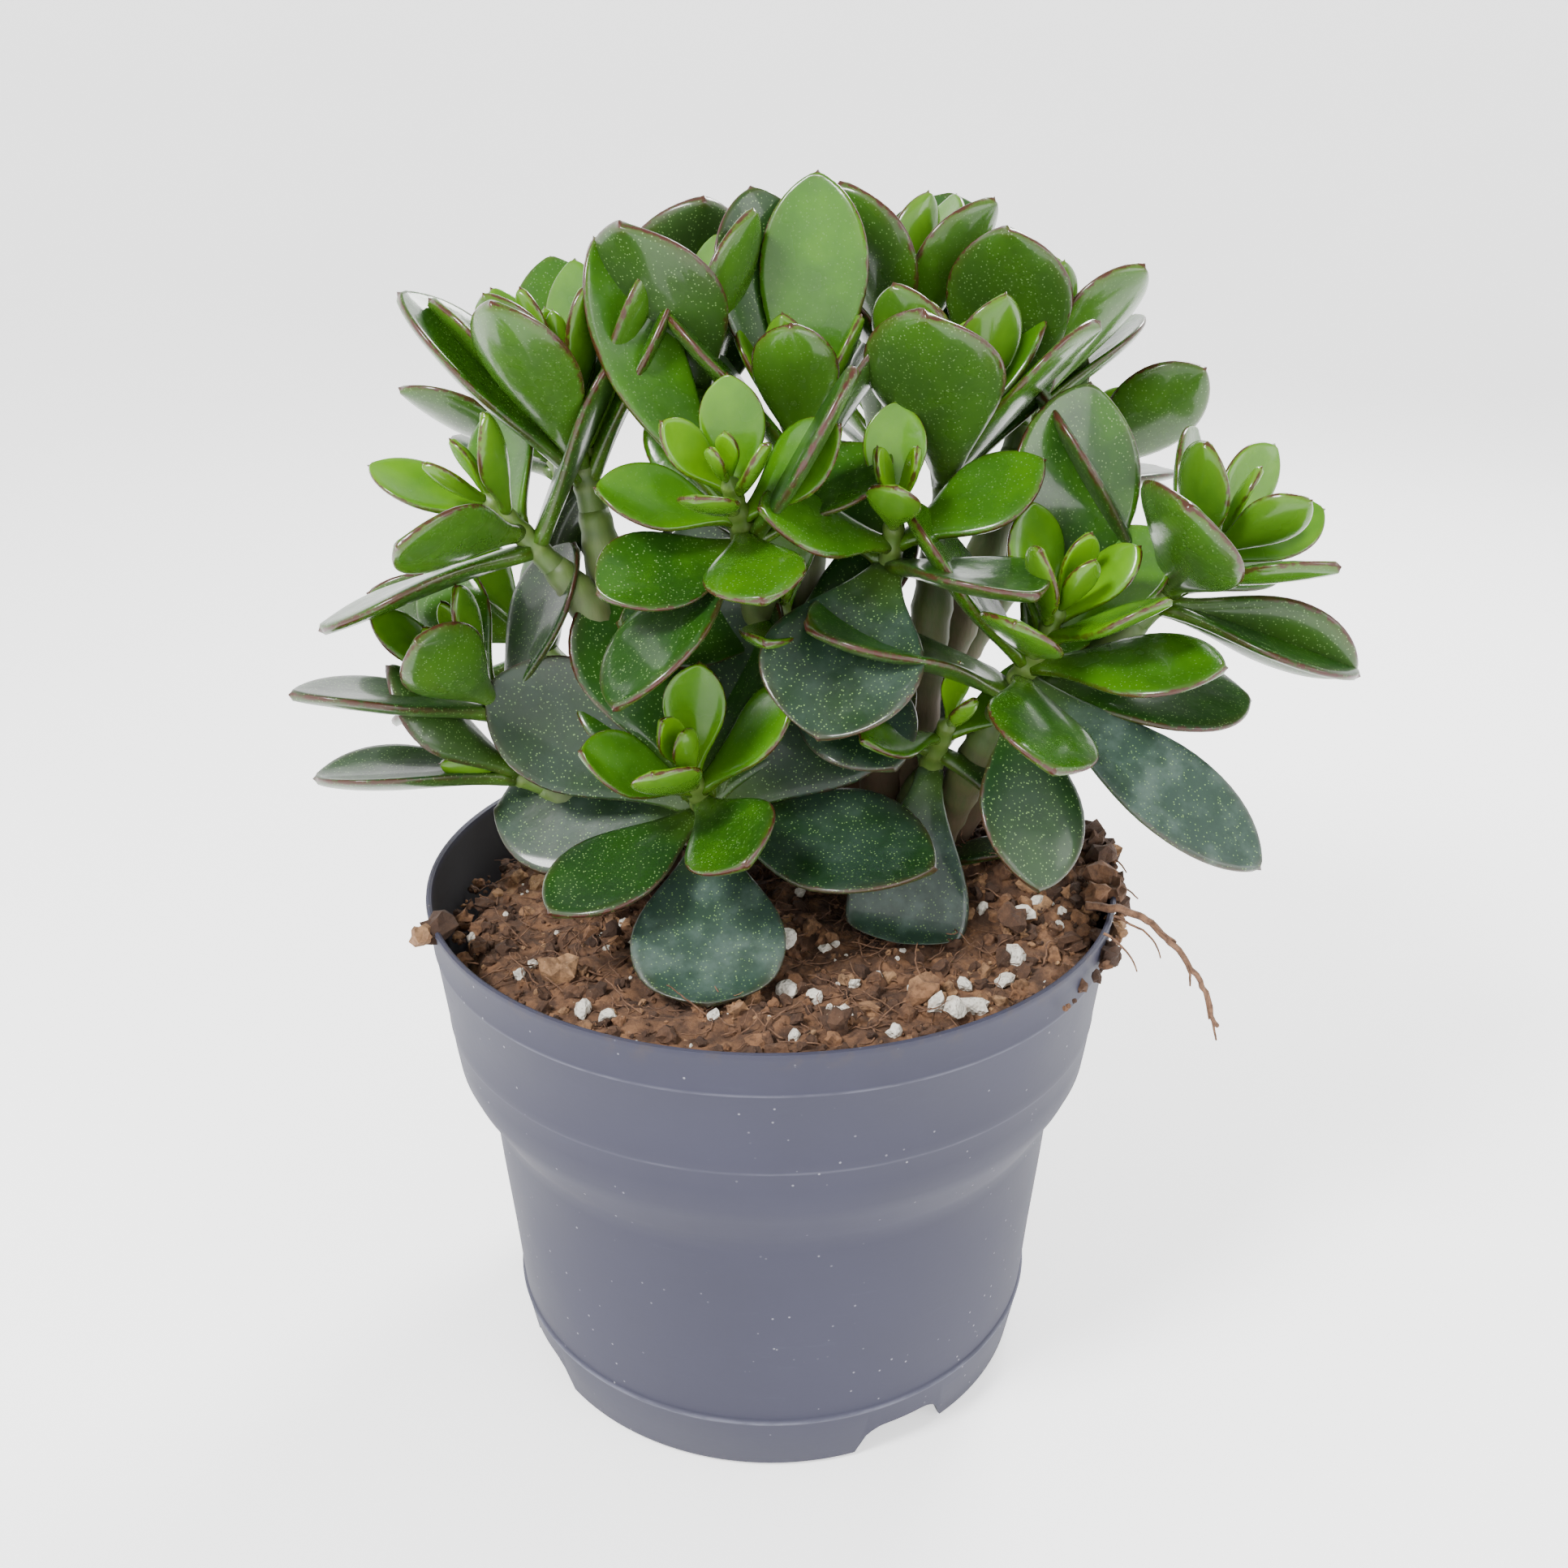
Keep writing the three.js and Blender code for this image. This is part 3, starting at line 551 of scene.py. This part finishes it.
def add_leaf(name, leaf, material, seed):
    """A fleshy leaf on an arched midrib: a rounded edge, a slightly dished face and a small point."""
    upper, side = leaf_frame(leaf)
    bend = math.radians(leaf["bend"] if abs(leaf["bend"]) > 1 else 1)
    radius = (leaf["length"] - LEAF_INSET) / (2 * math.sin(bend / 2))
    thickness = 2.2 + 0.05 * leaf["length"]
    dish = 0.07 * leaf["width"] * (1.3 + scatter(seed, 7))
    wave = 0.035 * leaf["width"] * scatter(seed, 8)
    lean = 0.05 * leaf["width"] * scatter(seed, 9)

    def midrib(t):
        angle = bend * (t - 0.5)
        across = radius * (math.sin(angle) + math.sin(bend / 2))
        lift = radius * (math.cos(bend / 2) - math.cos(angle))
        sway = lean * math.sin(math.pi * t)
        point = leaf["base"] + leaf["along"] * (across + LEAF_INSET) + upper * lift + side * sway
        return rested(point)

    points = []
    floats = {"leaf_age": [], "leaf_edge": [], "leaf_along": [], "leaf_upper": []}

    def add(point, edge, along, is_upper):
        points.append(point * MM)
        floats["leaf_age"].append(leaf["age"])
        floats["leaf_edge"].append(edge)
        floats["leaf_along"].append(along)
        floats["leaf_upper"].append(is_upper)

    for t in LEAF_STATIONS:
        angle = bend * (t - 0.5)
        face = upper * math.cos(angle) - leaf["along"] * math.sin(angle)
        share = leaf_outline(t)
        half_width = leaf["width"] / 2 * share
        half_depth = thickness / 2 * (1 - 0.35 * t) * (0.75 + 0.25 * share)
        half_depth = min(half_depth, 0.9 * half_width + 0.15)
        centre = midrib(t)
        for k in range(LEAF_SIDES):
            turn = 2 * math.pi * k / LEAF_SIDES
            x = math.copysign(abs(math.cos(turn)) ** 0.9, math.cos(turn))
            y = math.copysign(abs(math.sin(turn)) ** 0.85, math.sin(turn))
            hollow = dish * share * (x * x - 0.35) + wave * x * math.sin(7 * t + seed)
            edge = max(abs(x), (t - 0.86) / 0.14)
            add(centre + side * half_width * x + face * (half_depth * y + hollow * (t > 0)),
                edge, t, 0.5 + 0.5 * y)
    add(midrib(1) + leaf["along"] * 0.5, 1, 1, 0.5)
    faces = ring_faces(LEAF_RINGS, LEAF_SIDES, close_end=False)
    last = (LEAF_RINGS - 1) * LEAF_SIDES
    for k in range(LEAF_SIDES):
        faces.append((last + k, last + (k + 1) % LEAF_SIDES, len(points) - 1))
    return add_mesh(name, points, faces, material, floats)


def shoot_point(shoot, drop):
    """The point on a shoot's axis at a distance below its bud."""
    return Vector(shoot["tip"]) - direction(*shoot["lean"]) * drop


def node_drop(shoot, node):
    return FIRST_NODE + shoot["gap"] * node


def paired_leaves(shoot, index):
    """The crossed pairs of a shoot, from the bud down."""
    axis = direction(*shoot["lean"])
    level = UP.cross(axis).normalized()
    leaves = []
    for i in range(2 * shoot["pairs"]):
        node = i // 2
        age = node / (shoot["pairs"] - 1)
        grown = YOUNG_LEAF + (1 - YOUNG_LEAF) * age ** 0.8
        length = shoot["leaf"] * grown * (1 + LENGTH_SCATTER * scatter(index + 1, i + 1))
        spread = YOUNG_SPREAD + (shoot["open"] - YOUNG_SPREAD) * age ** 0.85
        spread += SPREAD_SCATTER * scatter(index + 2, i + 2)
        turn = shoot["facing"] - shoot["lean"][0] + 180 * (i % 2)
        turn += (90 + shoot["spiral"]) * (node - shoot["pairs"] + 1)
        turn += TURN_SCATTER * scatter(index + 3, i + 3)
        along = turned(turned(axis, level, spread), axis, turn) + UP * shoot["lift"] * age
        leaves.append(dict(
            node=node, length=length, axis=axis, along=along.normalized(),
            base=shoot_point(shoot, node_drop(shoot, node)),
            width=length * (YOUNG_BREADTH + BREADTH_GAIN * age) * shoot["broad"],
            bend=YOUNG_BEND - BEND_LOSS * age,
            roll=ROLL_SCATTER * scatter(index + 4, i + 4),
            age=age * shoot["old"],
        ))
    return leaves


def stray_leaves(shoot):
    """The single leaves of a shoot, with their places on its stem."""
    axis = direction(*shoot["lean"])
    return [
        {**leaf, "axis": axis, "along": direction(leaf["heading"], leaf["rise"]),
         "base": shoot_point(shoot, node_drop(shoot, leaf["node"]))}
        for leaf in shoot["strays"]
    ]


def cad_node(shoot, leaf, runs):
    """The CAD node that a leaf belongs to: two nodes of the stem make one run."""
    run = min(runs - 1, leaf["node"] // 2)
    return f"{shoot['name']}_tip" if run == 0 else f"{shoot['name']}_leaves_{run}"


# ------------------------------------------------------------------ stems

def tube(name, points, radii, sides, material, floats=None):
    """A closed tube through points; each float has one number per point."""
    verts = []
    spread = {key: [] for key in (floats or {})}
    normal = None
    for i, point in enumerate(points):
        before = points[max(i - 1, 0)]
        after = points[min(i + 1, len(points) - 1)]
        along = (after - before).normalized()
        if normal is None:
            normal = along.orthogonal().normalized()
        normal = (normal - along * normal.dot(along)).normalized()
        across = along.cross(normal)
        for k in range(sides):
            turn = 2 * math.pi * k / sides
            verts.append((point + (normal * math.cos(turn) + across * math.sin(turn)) * radii[i]) * MM)
            for key in spread:
                spread[key].append(floats[key][i])
    return add_mesh(name, verts, ring_faces(len(points), sides), material, spread)


def green_stem(shoot, last_node, material):
    """The shoot's own stem, with a raised ring at each node, and a small dome at the bud."""
    end = node_drop(shoot, last_node) + GREEN_BELOW
    count = int(end / 0.6)
    points, radii, wood, joint = [], [], [], []
    for i in range(count + 1):
        drop = end - (end + 1.4) * i / count
        nearest = min(abs(drop - node_drop(shoot, n)) for n in range(last_node + 1))
        ring = math.exp(-(nearest / 0.9) ** 2)
        radius = max(0.7, GREEN_STEM_TOP + GREEN_STEM_TAPER * drop)
        if drop < 0.5:
            radius = 1.3 * math.sqrt(max(0.02, (drop + 1.5) / 2))
        points.append(shoot_point(shoot, drop))
        radii.append(radius * (1 + 0.14 * ring))
        wood.append(0.012 * max(0, drop))
        joint.append(ring)
    return tube(f"{shoot['name']}_stem", points, radii, 14, material,
                {"stem_wood": wood, "stem_joint": joint})


def branch(shoot, index, last_node, material):
    """A woody branch that rises from its trunk's foot and bows into the shoot."""
    drop = node_drop(shoot, last_node) + GREEN_BELOW
    start = Vector((*TRUNKS[shoot["trunk"]], TRUNK_FOOT))
    end = shoot_point(shoot, drop - 0.5)
    axis = direction(*shoot["lean"])
    bow = end - axis * 0.5 * (end - start).length
    steps = 44
    points, radii, wood, joint = [], [], [], []
    scars = [0.30, 0.42, 0.53, 0.63, 0.72, 0.80, 0.87, 0.93, 0.98]
    for i in range(steps + 1):
        t = i / steps
        point = start * (1 - t) ** 2 + bow * 2 * t * (1 - t) + end * t * t
        ring = max(math.exp(-((t - scar) * (end - start).length / 1.3) ** 2) for scar in scars)
        girth = TRUNK_RADIUS + (WOOD_RADIUS - TRUNK_RADIUS) * t
        girth = girth + (GREEN_STEM_TOP + GREEN_STEM_TAPER * drop - girth) * max(0, (t - 0.9) / 0.1)
        knot = 1 + 0.05 * noise.noise(point * 0.25 + Vector((index, 0, 0)))
        points.append(point)
        radii.append(girth * knot * (1 + 0.10 * ring))
        wood.append(1 - 0.75 * t ** 1.4)
        joint.append(0.5 * ring * t)
    return tube(f"{shoot['name']}_branch", points, radii, 16, material,
                {"stem_wood": wood, "stem_joint": joint})


def grow_plant():
    waxy = leaf_material()
    skin = stem_material()
    for index, shoot in enumerate(SHOOTS):
        leaves = paired_leaves(shoot, index) + stray_leaves(shoot)
        last_node = max(leaf["node"] for leaf in leaves)
        runs = max(1, (last_node + 1) // 2)
        for i, leaf in enumerate(leaves):
            piece = add_leaf(f"{shoot['name']}_leaf_{i + 1}", leaf, waxy, 31 * index + i)
            place(piece, "leaf", cad_node(shoot, leaf, runs))
        stem = green_stem(shoot, last_node, skin)
        place(stem, "leaf", f"{shoot['name']}_tip")
        wood = branch(shoot, index, last_node, skin)
        place(wood, "stem", f"stem_{shoot['trunk']}")
    fallen = {**FALLEN_LEAF, "axis": UP, "roll": 0, "base": Vector(FALLEN_LEAF["base"]),
              "along": direction(FALLEN_LEAF["heading"], FALLEN_LEAF["rise"])}
    place(add_leaf("fallen_leaf_piece", fallen, waxy, 5), "leaf", "fallen_leaf")


# ------------------------------------------------------------------ pot

def pot_profile():
    """Points (radius, height) of the pot's wall in mm, outside from the foot up, then inside down."""
    rim = RIM_RADIUS / MM
    top = POT_HEIGHT / MM
    outside = [
        (0.001, 0), (10, 0), (10, 8), (53.4, 8), (53.6, 0.15), (54.5, 0), (54.9, 0.5),
        (56.95, 12.4), (57.15, 13.1), (56.6, 13.8), (57.7, 29), (59.2, 47), (60.0, 58),
        (60.3, 60.6), (61.2, 62.6), (65.0, 69.4), (66.3, 72.6), (66.9, 77.5), (67.3, 81.6),
        (67.5, 82.2), (67.55, 84), (69.1, 99.2), (69.35, 99.6), (69.3, 100.2),
        (rim - 0.35, top - 1.6), (rim, top - 0.9),
    ]
    inside = [
        (rim - 0.1, top - 0.2), (rim - 0.6, top), (rim - 1.1, top - 0.3), (rim - 1.4, top - 1.6),
        (65.8, 80), (63.2, 70), (58.9, 58.5), (54.8, 9.7), (0.001, 9.6),
    ]
    return outside, inside


def add_pot(material):
    """The pot as a lathe of its profile, still without its notches and drain holes."""
    outside, inside = pot_profile()
    profile = outside + inside
    points, dark = [], []
    for i, (radius, height) in enumerate(profile):
        points.extend(ring_points(radius, height, POT_SIDES))
        # The inner wall below the lip is marked for the material's painted shade.
        dark.extend([1.0 if i >= len(outside) + 3 else 0.0] * POT_SIDES)
    faces = ring_faces(len(profile), POT_SIDES)
    return add_mesh("pot_body", points, faces, material, {"inside_shade": dark})


def foot_notch():
    """Outline of a foot notch in mm, across and up, with rounded upper corners."""
    half = NOTCH_WIDTH / 2
    corner = [(half - 2 - 4 * t, NOTCH_HEIGHT - 2 * (1 - t) ** 2) for t in (0, 0.25, 0.5, 0.75, 1)]
    right = [(half + 1, -2), *corner]
    return right + [(-across, up) for across, up in reversed(right)]


def cutter(outline, start, depth, turn):
    """A prism of an outline, from start outwards along a heading."""
    out = direction(turn, 0)
    across = UP.cross(out)
    points = []
    for reach in (start, start + depth):
        points.extend((out * reach + across * x + UP * z) * MM for x, z in outline)
    return points, ring_faces(2, len(outline))


def cut_pot(pot):
    """Takes the four notches and the four drain holes out of the pot."""
    points, faces = [], []
    shapes = []
    for i in range(NOTCH_COUNT):
        turn = NOTCH_HEADING + 360 // NOTCH_COUNT * i
        shapes.append(cutter(foot_notch(), NOTCH_START, NOTCH_DEPTH, turn))
        centre = direction(turn, 0) * DRAIN_RING
        hole = [centre + direction(angle, 0) * DRAIN_RADIUS for angle in range(0, 360, 12)]
        pin = [(p + UP * z) * MM for z in (DRAIN_LOW, DRAIN_HIGH) for p in hole]
        shapes.append((pin, ring_faces(2, len(hole))))
    for some, joins in shapes:
        first = len(points)
        points.extend(some)
        faces.extend(tuple(first + corner for corner in face) for face in joins)
    tool = add_mesh("pot_cutter", points, faces, pot.data.materials[0], smooth=False)
    clean = bmesh.new()
    clean.from_mesh(tool.data)
    bmesh.ops.recalc_face_normals(clean, faces=clean.faces)
    clean.to_mesh(tool.data)
    clean.free()
    cut = pot.modifiers.new("cut", "BOOLEAN")
    cut.object = tool
    cut.solver = "EXACT"
    bpy.context.view_layer.update()
    whole = bpy.data.meshes.new_from_object(pot.evaluated_get(bpy.context.evaluated_depsgraph_get()))
    pot.modifiers.remove(cut)
    pot.data = whole
    bpy.data.objects.remove(tool)
    whole.set_sharp_from_angle(angle=math.radians(38))
    return pot


# ------------------------------------------------------------------ soil, perlite and roots

def soil_height(x, y):
    """Height of the soil in mm: heaped against the right of the rim and sunk at the left."""
    away = ((x - MOUND["x"]) ** 2 + (y - MOUND["y"]) ** 2) / (2 * MOUND["spread"] ** 2)
    front = max(0, -y / SLOPE_REACH)
    left = max(0, -x / SLOPE_REACH)
    return SOIL_LEVEL + MOUND["rise"] * math.exp(-away) + 4 * front ** 2 - 4 * left ** 2


def soil_reach(turn):
    """How far out the soil comes at a heading: shrunk from the wall at the left and back."""
    left = max(0, -math.cos(turn))
    return 66.2 - 3.2 * left + 0.9 * noise.noise(Vector((3 * math.cos(turn), 3 * math.sin(turn), 5)))


def rough_height(x, y):
    """The soil's height with its lumps and crumbs."""
    place_now = Vector((x, y, 0))
    lumps = 1.6 * noise.noise(place_now * 0.09) + 1.1 * noise.noise(place_now * 0.24)
    crumbs = 1.0 * abs(noise.noise(place_now * 0.62)) + 0.8 * abs(noise.noise(place_now * 1.3))
    return soil_height(x, y) + lumps + crumbs - 0.6


def add_soil(material):
    """The soil's body: a rough crust over a plug that fills the pot."""
    sides = 300
    rings = 84
    points = []
    plug = [(50, 9.9), (53.8, 9.9), (58.1, 58), (62.2, 70), (64.6, 80), (64.9, 88)]
    for radius, height in plug:
        points.extend(ring_points(radius, height, sides))
    for ring in range(rings):
        share = 1 - ring / rings
        for k in range(sides):
            turn = 2 * math.pi * k / sides
            reach = soil_reach(turn) * share
            x = reach * math.cos(turn)
            y = reach * math.sin(turn)
            sink = 5 * max(0, 1 - (1 - share) * 22) * max(0, -math.cos(turn)) ** 0.5
            points.append(Vector((x, y, rough_height(x, y) - sink)) * MM)
    points.append(Vector((0, 0, rough_height(0, 0))) * MM)
    total = len(plug) + rings
    faces = ring_faces(total, sides, close_end=False)
    last = (total - 1) * sides
    for k in range(sides):
        faces.append((last + k, last + (k + 1) % sides, len(points) - 1))
    tint = [0.5 + 0.45 * noise.noise(point / MM * 0.35) for point in points]
    return add_mesh("soil_body", points, faces, material, {"soil_tint": tint})


def blob(rough, detail=2):
    """Points and faces of a lumpy ball of radius one."""
    ball = bmesh.new()
    bmesh.ops.create_icosphere(ball, subdivisions=detail, radius=1)
    points = [vert.co.copy() for vert in ball.verts]
    faces = [tuple(vert.index for vert in face.verts) for face in ball.faces]
    ball.free()
    shift = Vector((random.uniform(-50, 50), random.uniform(-50, 50), random.uniform(-50, 50)))
    lumpy = [p * (1 + rough * noise.noise(p * 1.3 + shift) + 0.5 * rough * noise.noise(p * 3.1 + shift))
             for p in points]
    return lumpy, faces


def add_grains(name, grains, rough, material, flat=0.75):
    """Many lumpy grains as one piece; each grain is (x, y, z, size) in mm."""
    points, faces, tint = [], [], []
    for x, y, z, size in grains:
        shape, triangles = blob(rough)
        spin = Matrix.Rotation(random.uniform(0, 6.28), 3, Vector((random.random(), random.random(), 0.3)))
        stretch = Vector((random.uniform(0.8, 1.25), random.uniform(0.8, 1.25), flat))
        first = len(points)
        shade = random.random()
        for point in shape:
            point = spin @ (point * stretch)
            points.append((point * size + Vector((x, y, z))) * MM)
            tint.append(shade)
        faces.extend(tuple(first + corner for corner in face) for face in triangles)
    return add_mesh(name, points, faces, material, {"soil_tint": tint}, smooth=rough < 0.5)


def scattered(count, low, high, mound_share=0.25):
    """Random grains that lie on the soil, some of them on the mound."""
    grains = []
    for _ in range(count):
        size = low + (high - low) * random.random() ** 3
        if random.random() < mound_share:
            x = random.gauss(MOUND["x"] + 5, 10)
            y = random.gauss(MOUND["y"], 20)
        else:
            reach = SOIL_RADIUS * math.sqrt(random.random())
            turn = random.uniform(0, 2 * math.pi)
            x = reach * math.cos(turn)
            y = reach * math.sin(turn)
        limit = HEAP_RADIUS if x > 50 else SOIL_RADIUS
        length = math.hypot(x, y)
        if length > limit:
            x *= limit / length
            y *= limit / length
        grains.append((x, y, rough_height(x, y) + 0.25 * size, size))
    return grains


def thread(points, radius, sides=5):
    """Points and faces of one thin tube."""
    verts = []
    normal = None
    for i, point in enumerate(points):
        along = (points[min(i + 1, len(points) - 1)] - points[max(i - 1, 0)]).normalized()
        normal = normal or along.orthogonal().normalized()
        normal = (normal - along * normal.dot(along)).normalized()
        across = along.cross(normal)
        thin = radius * (1 - 0.5 * i / (len(points) - 1))
        for k in range(sides):
            turn = 2 * math.pi * k / sides
            verts.append((point + (normal * math.cos(turn) + across * math.sin(turn)) * thin) * MM)
    return verts, ring_faces(len(points), sides)


def add_threads(name, threads, material):
    """Many threads as one piece; each thread is (points, radius) in mm."""
    verts, faces = [], []
    for points, radius in threads:
        some, joins = thread(points, radius)
        first = len(verts)
        verts.extend(some)
        faces.extend(tuple(first + corner for corner in face) for face in joins)
    return add_mesh(name, verts, faces, material)


def wander(start, heading, length, step=1.2, drop=0.0, turn=30):
    """A crooked line from start, drooping as it goes."""
    points = [Vector(start)]
    along = Vector(heading).normalized()
    for _ in range(max(3, int(length / step))):
        along = turned(along, UP, random.uniform(-turn, turn))
        along.z += random.uniform(-0.25, 0.25) - drop
        along.normalize()
        points.append(points[-1] + along * step)
    return points


def coir_threads(count):
    """Short fibres that lie on the soil."""
    threads = []
    for _ in range(count):
        reach = 63 * math.sqrt(random.random())
        turn = random.uniform(0, 2 * math.pi)
        x = reach * math.cos(turn)
        y = reach * math.sin(turn)
        start = (x, y, rough_height(x, y) + 0.3)
        path = wander(start, direction(random.uniform(0, 360), random.uniform(-5, 25)),
                      random.uniform(4, 12), 0.9)
        path = [Vector((p.x, p.y, max(p.z, rough_height(p.x, p.y) + 0.2))) for p in path
                if math.hypot(p.x, p.y) < SOIL_RADIUS]
        if len(path) > 3:
            threads.append((path, random.uniform(0.10, 0.24)))
    return threads


def smooth_line(stops, steps):
    """A smooth line through stops, with steps points between neighbours."""
    ends = [stops[0], *stops, stops[-1]]
    line = []
    for a, b, c, d in zip(ends, ends[1:], ends[2:], ends[3:]):
        for i in range(steps):
            t = i / steps
            line.append(0.5 * (2 * b + (c - a) * t + (2 * a - 5 * b + 4 * c - d) * t * t
                               + (3 * b - a - 3 * c + d) * t ** 3))
    return [*line, stops[-1]]


def wobble(point):
    """A shift that is the same in each run, from three separate samples of the noise."""
    return Vector([noise.noise(point + UP * rise) for rise in (0, 17.3, 31.7)])


def root_threads():
    """The root that hangs over the rim, frayed, with a few shorter ones beside it."""
    main = smooth_line([Vector(stop) for stop in ROOT], 8)
    main = [p + 0.9 * wobble(p * 0.35) for p in main]
    threads = [(main, 0.95)]
    for start in (12, 17, 21, 25, 28):
        heading = (main[start + 2] - main[start]).normalized()
        threads.append((wander(main[start], heading, 9, 0.8, 0.06, 26), 0.4))
    for x, y, z, length in ((68, -8, 108.5, 8), (66, -24, 109.5, 14), (69, 2, 110, 7),
                            (63, -30, 109, 10), (-64, -27, 109, 5)):
        threads.append((wander((x, y, z), (x, y, -8), length, 0.9, 0.10, 18), 0.3))
    return threads


def cover_with_soil():
    earth = soil_material()
    white = perlite_material()
    fibre = fibre_material()
    random.seed(4)
    place(add_soil(earth), "soil", "soil")
    place(add_grains("soil_crumbs", scattered(2400, 0.35, 2.1), 0.75, earth), "soil")
    clods = [(66, -8, 110, 3.4), (68, 0, 110.5, 3.0), (67, 8, 111, 3.3), (64, -15, 109.5, 2.8),
             (62, 16, 111.5, 3.2), (69, -12, 109, 2.3), (71, 3, 109.8, 2.0), (58, -6, 112, 3.0),
             (57, 12, 113, 3.2), (-64, -26, 107.5, 3.2), (-66, -29, 108, 2.2), (47, -22, 108, 3.2),
             (-40, -34, 103.5, 3.0), (28, -44, 105.5, 3.0), (12, -55, 105.5, 2.8), (50, 34, 110, 3.0)]
    place(add_grains("soil_clods", clods, 0.8, earth, 0.85), "soil")
    place(add_threads("soil_fibres", coir_threads(650), fibre), "root")
    place(add_threads("hanging_root_strands", root_threads(), fibre), "root", "hanging_root")
    for i in (1, 2, 3):
        low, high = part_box(f"perlite_{i}")
        centre = (low + high) / 2 / MM
        grain = (centre.x, centre.y, centre.z, (high.x - low.x) / MM / 2)
        place(add_grains(f"perlite_grain_{i}", [grain], 0.55, white), "perlite", f"perlite_{i}")
    coarse = [(x, y, rough_height(x, y) + 0.4 * size, size) for x, y, size in COARSE_PERLITE]
    place(add_grains("perlite_coarse", coarse, 0.55, white), "perlite")
    place(add_grains("perlite_crumbs", scattered(150, 0.35, 1.5, 0.2), 0.6, white), "perlite")


# ------------------------------------------------------------------ studio

def add_light(name, location, target, size, watts):
    """A round soft light, in metres and watts, aimed at its target."""
    data = bpy.data.lights.new(name, "AREA")
    data.shape = "DISK"
    data.size = size
    data.energy = watts
    light = bpy.data.objects.new(name, data)
    light.location = location
    light.rotation_euler = (Vector(target) - Vector(location)).to_track_quat("-Z", "Y").to_euler()
    bpy.context.scene.collection.objects.link(light)


def studio_bowl():
    """A wide floor that curves up into a wall all round, under the open sky."""
    profile = [
        (0.001, 0), (0.4, 0), (1.2, 0), (2.0, 0.05), (2.6, 0.25), (3.0, 0.7), (3.2, 1.4), (3.25, 2.4),
    ]
    sides = 64
    points = []
    for radius, height in profile:
        for k in range(sides):
            turn = 2 * math.pi * k / sides
            points.append((radius * math.cos(turn), radius * math.sin(turn), height - 0.0005))
    return points, ring_faces(len(profile), sides, close_end=False)


def add_studio():
    """A white bowl that has no visible horizon, a bright sky and three soft lights."""
    s = Shader("studio_paper")
    paper = s.mix(s.span(s.noise(3, 2), 0.3, 0.7), (0.90, 0.90, 0.90), (0.92, 0.92, 0.92))
    s.surface.inputs["Emission Strength"].default_value = 0.95
    material = s.finish(base_color=paper, roughness=0.95, emission_color=(1.0, 1.0, 1.0))
    bowl = add_mesh("studio_bowl", *studio_bowl(), material)
    world = bpy.data.worlds.new("studio")
    world.use_nodes = True
    world.node_tree.nodes["Background"].inputs["Color"].default_value = (1, 1, 1, 1)
    world.node_tree.nodes["Background"].inputs["Strength"].default_value = 0.9
    bpy.context.scene.world = world
    add_light("key", (-0.45, -0.45, 0.85), (0, 0, 0.17), 0.25, 15)
    add_light("fill", (0.7, -0.5, 0.5), (0, 0, 0.14), 0.5, 3)
    add_light("rim", (0.35, 0.6, 0.75), (0, 0, 0.18), 0.3, 10)


grow_plant()
cover_with_soil()
place(cut_pot(add_pot(pot_material())), "pot", "pot")
add_studio()
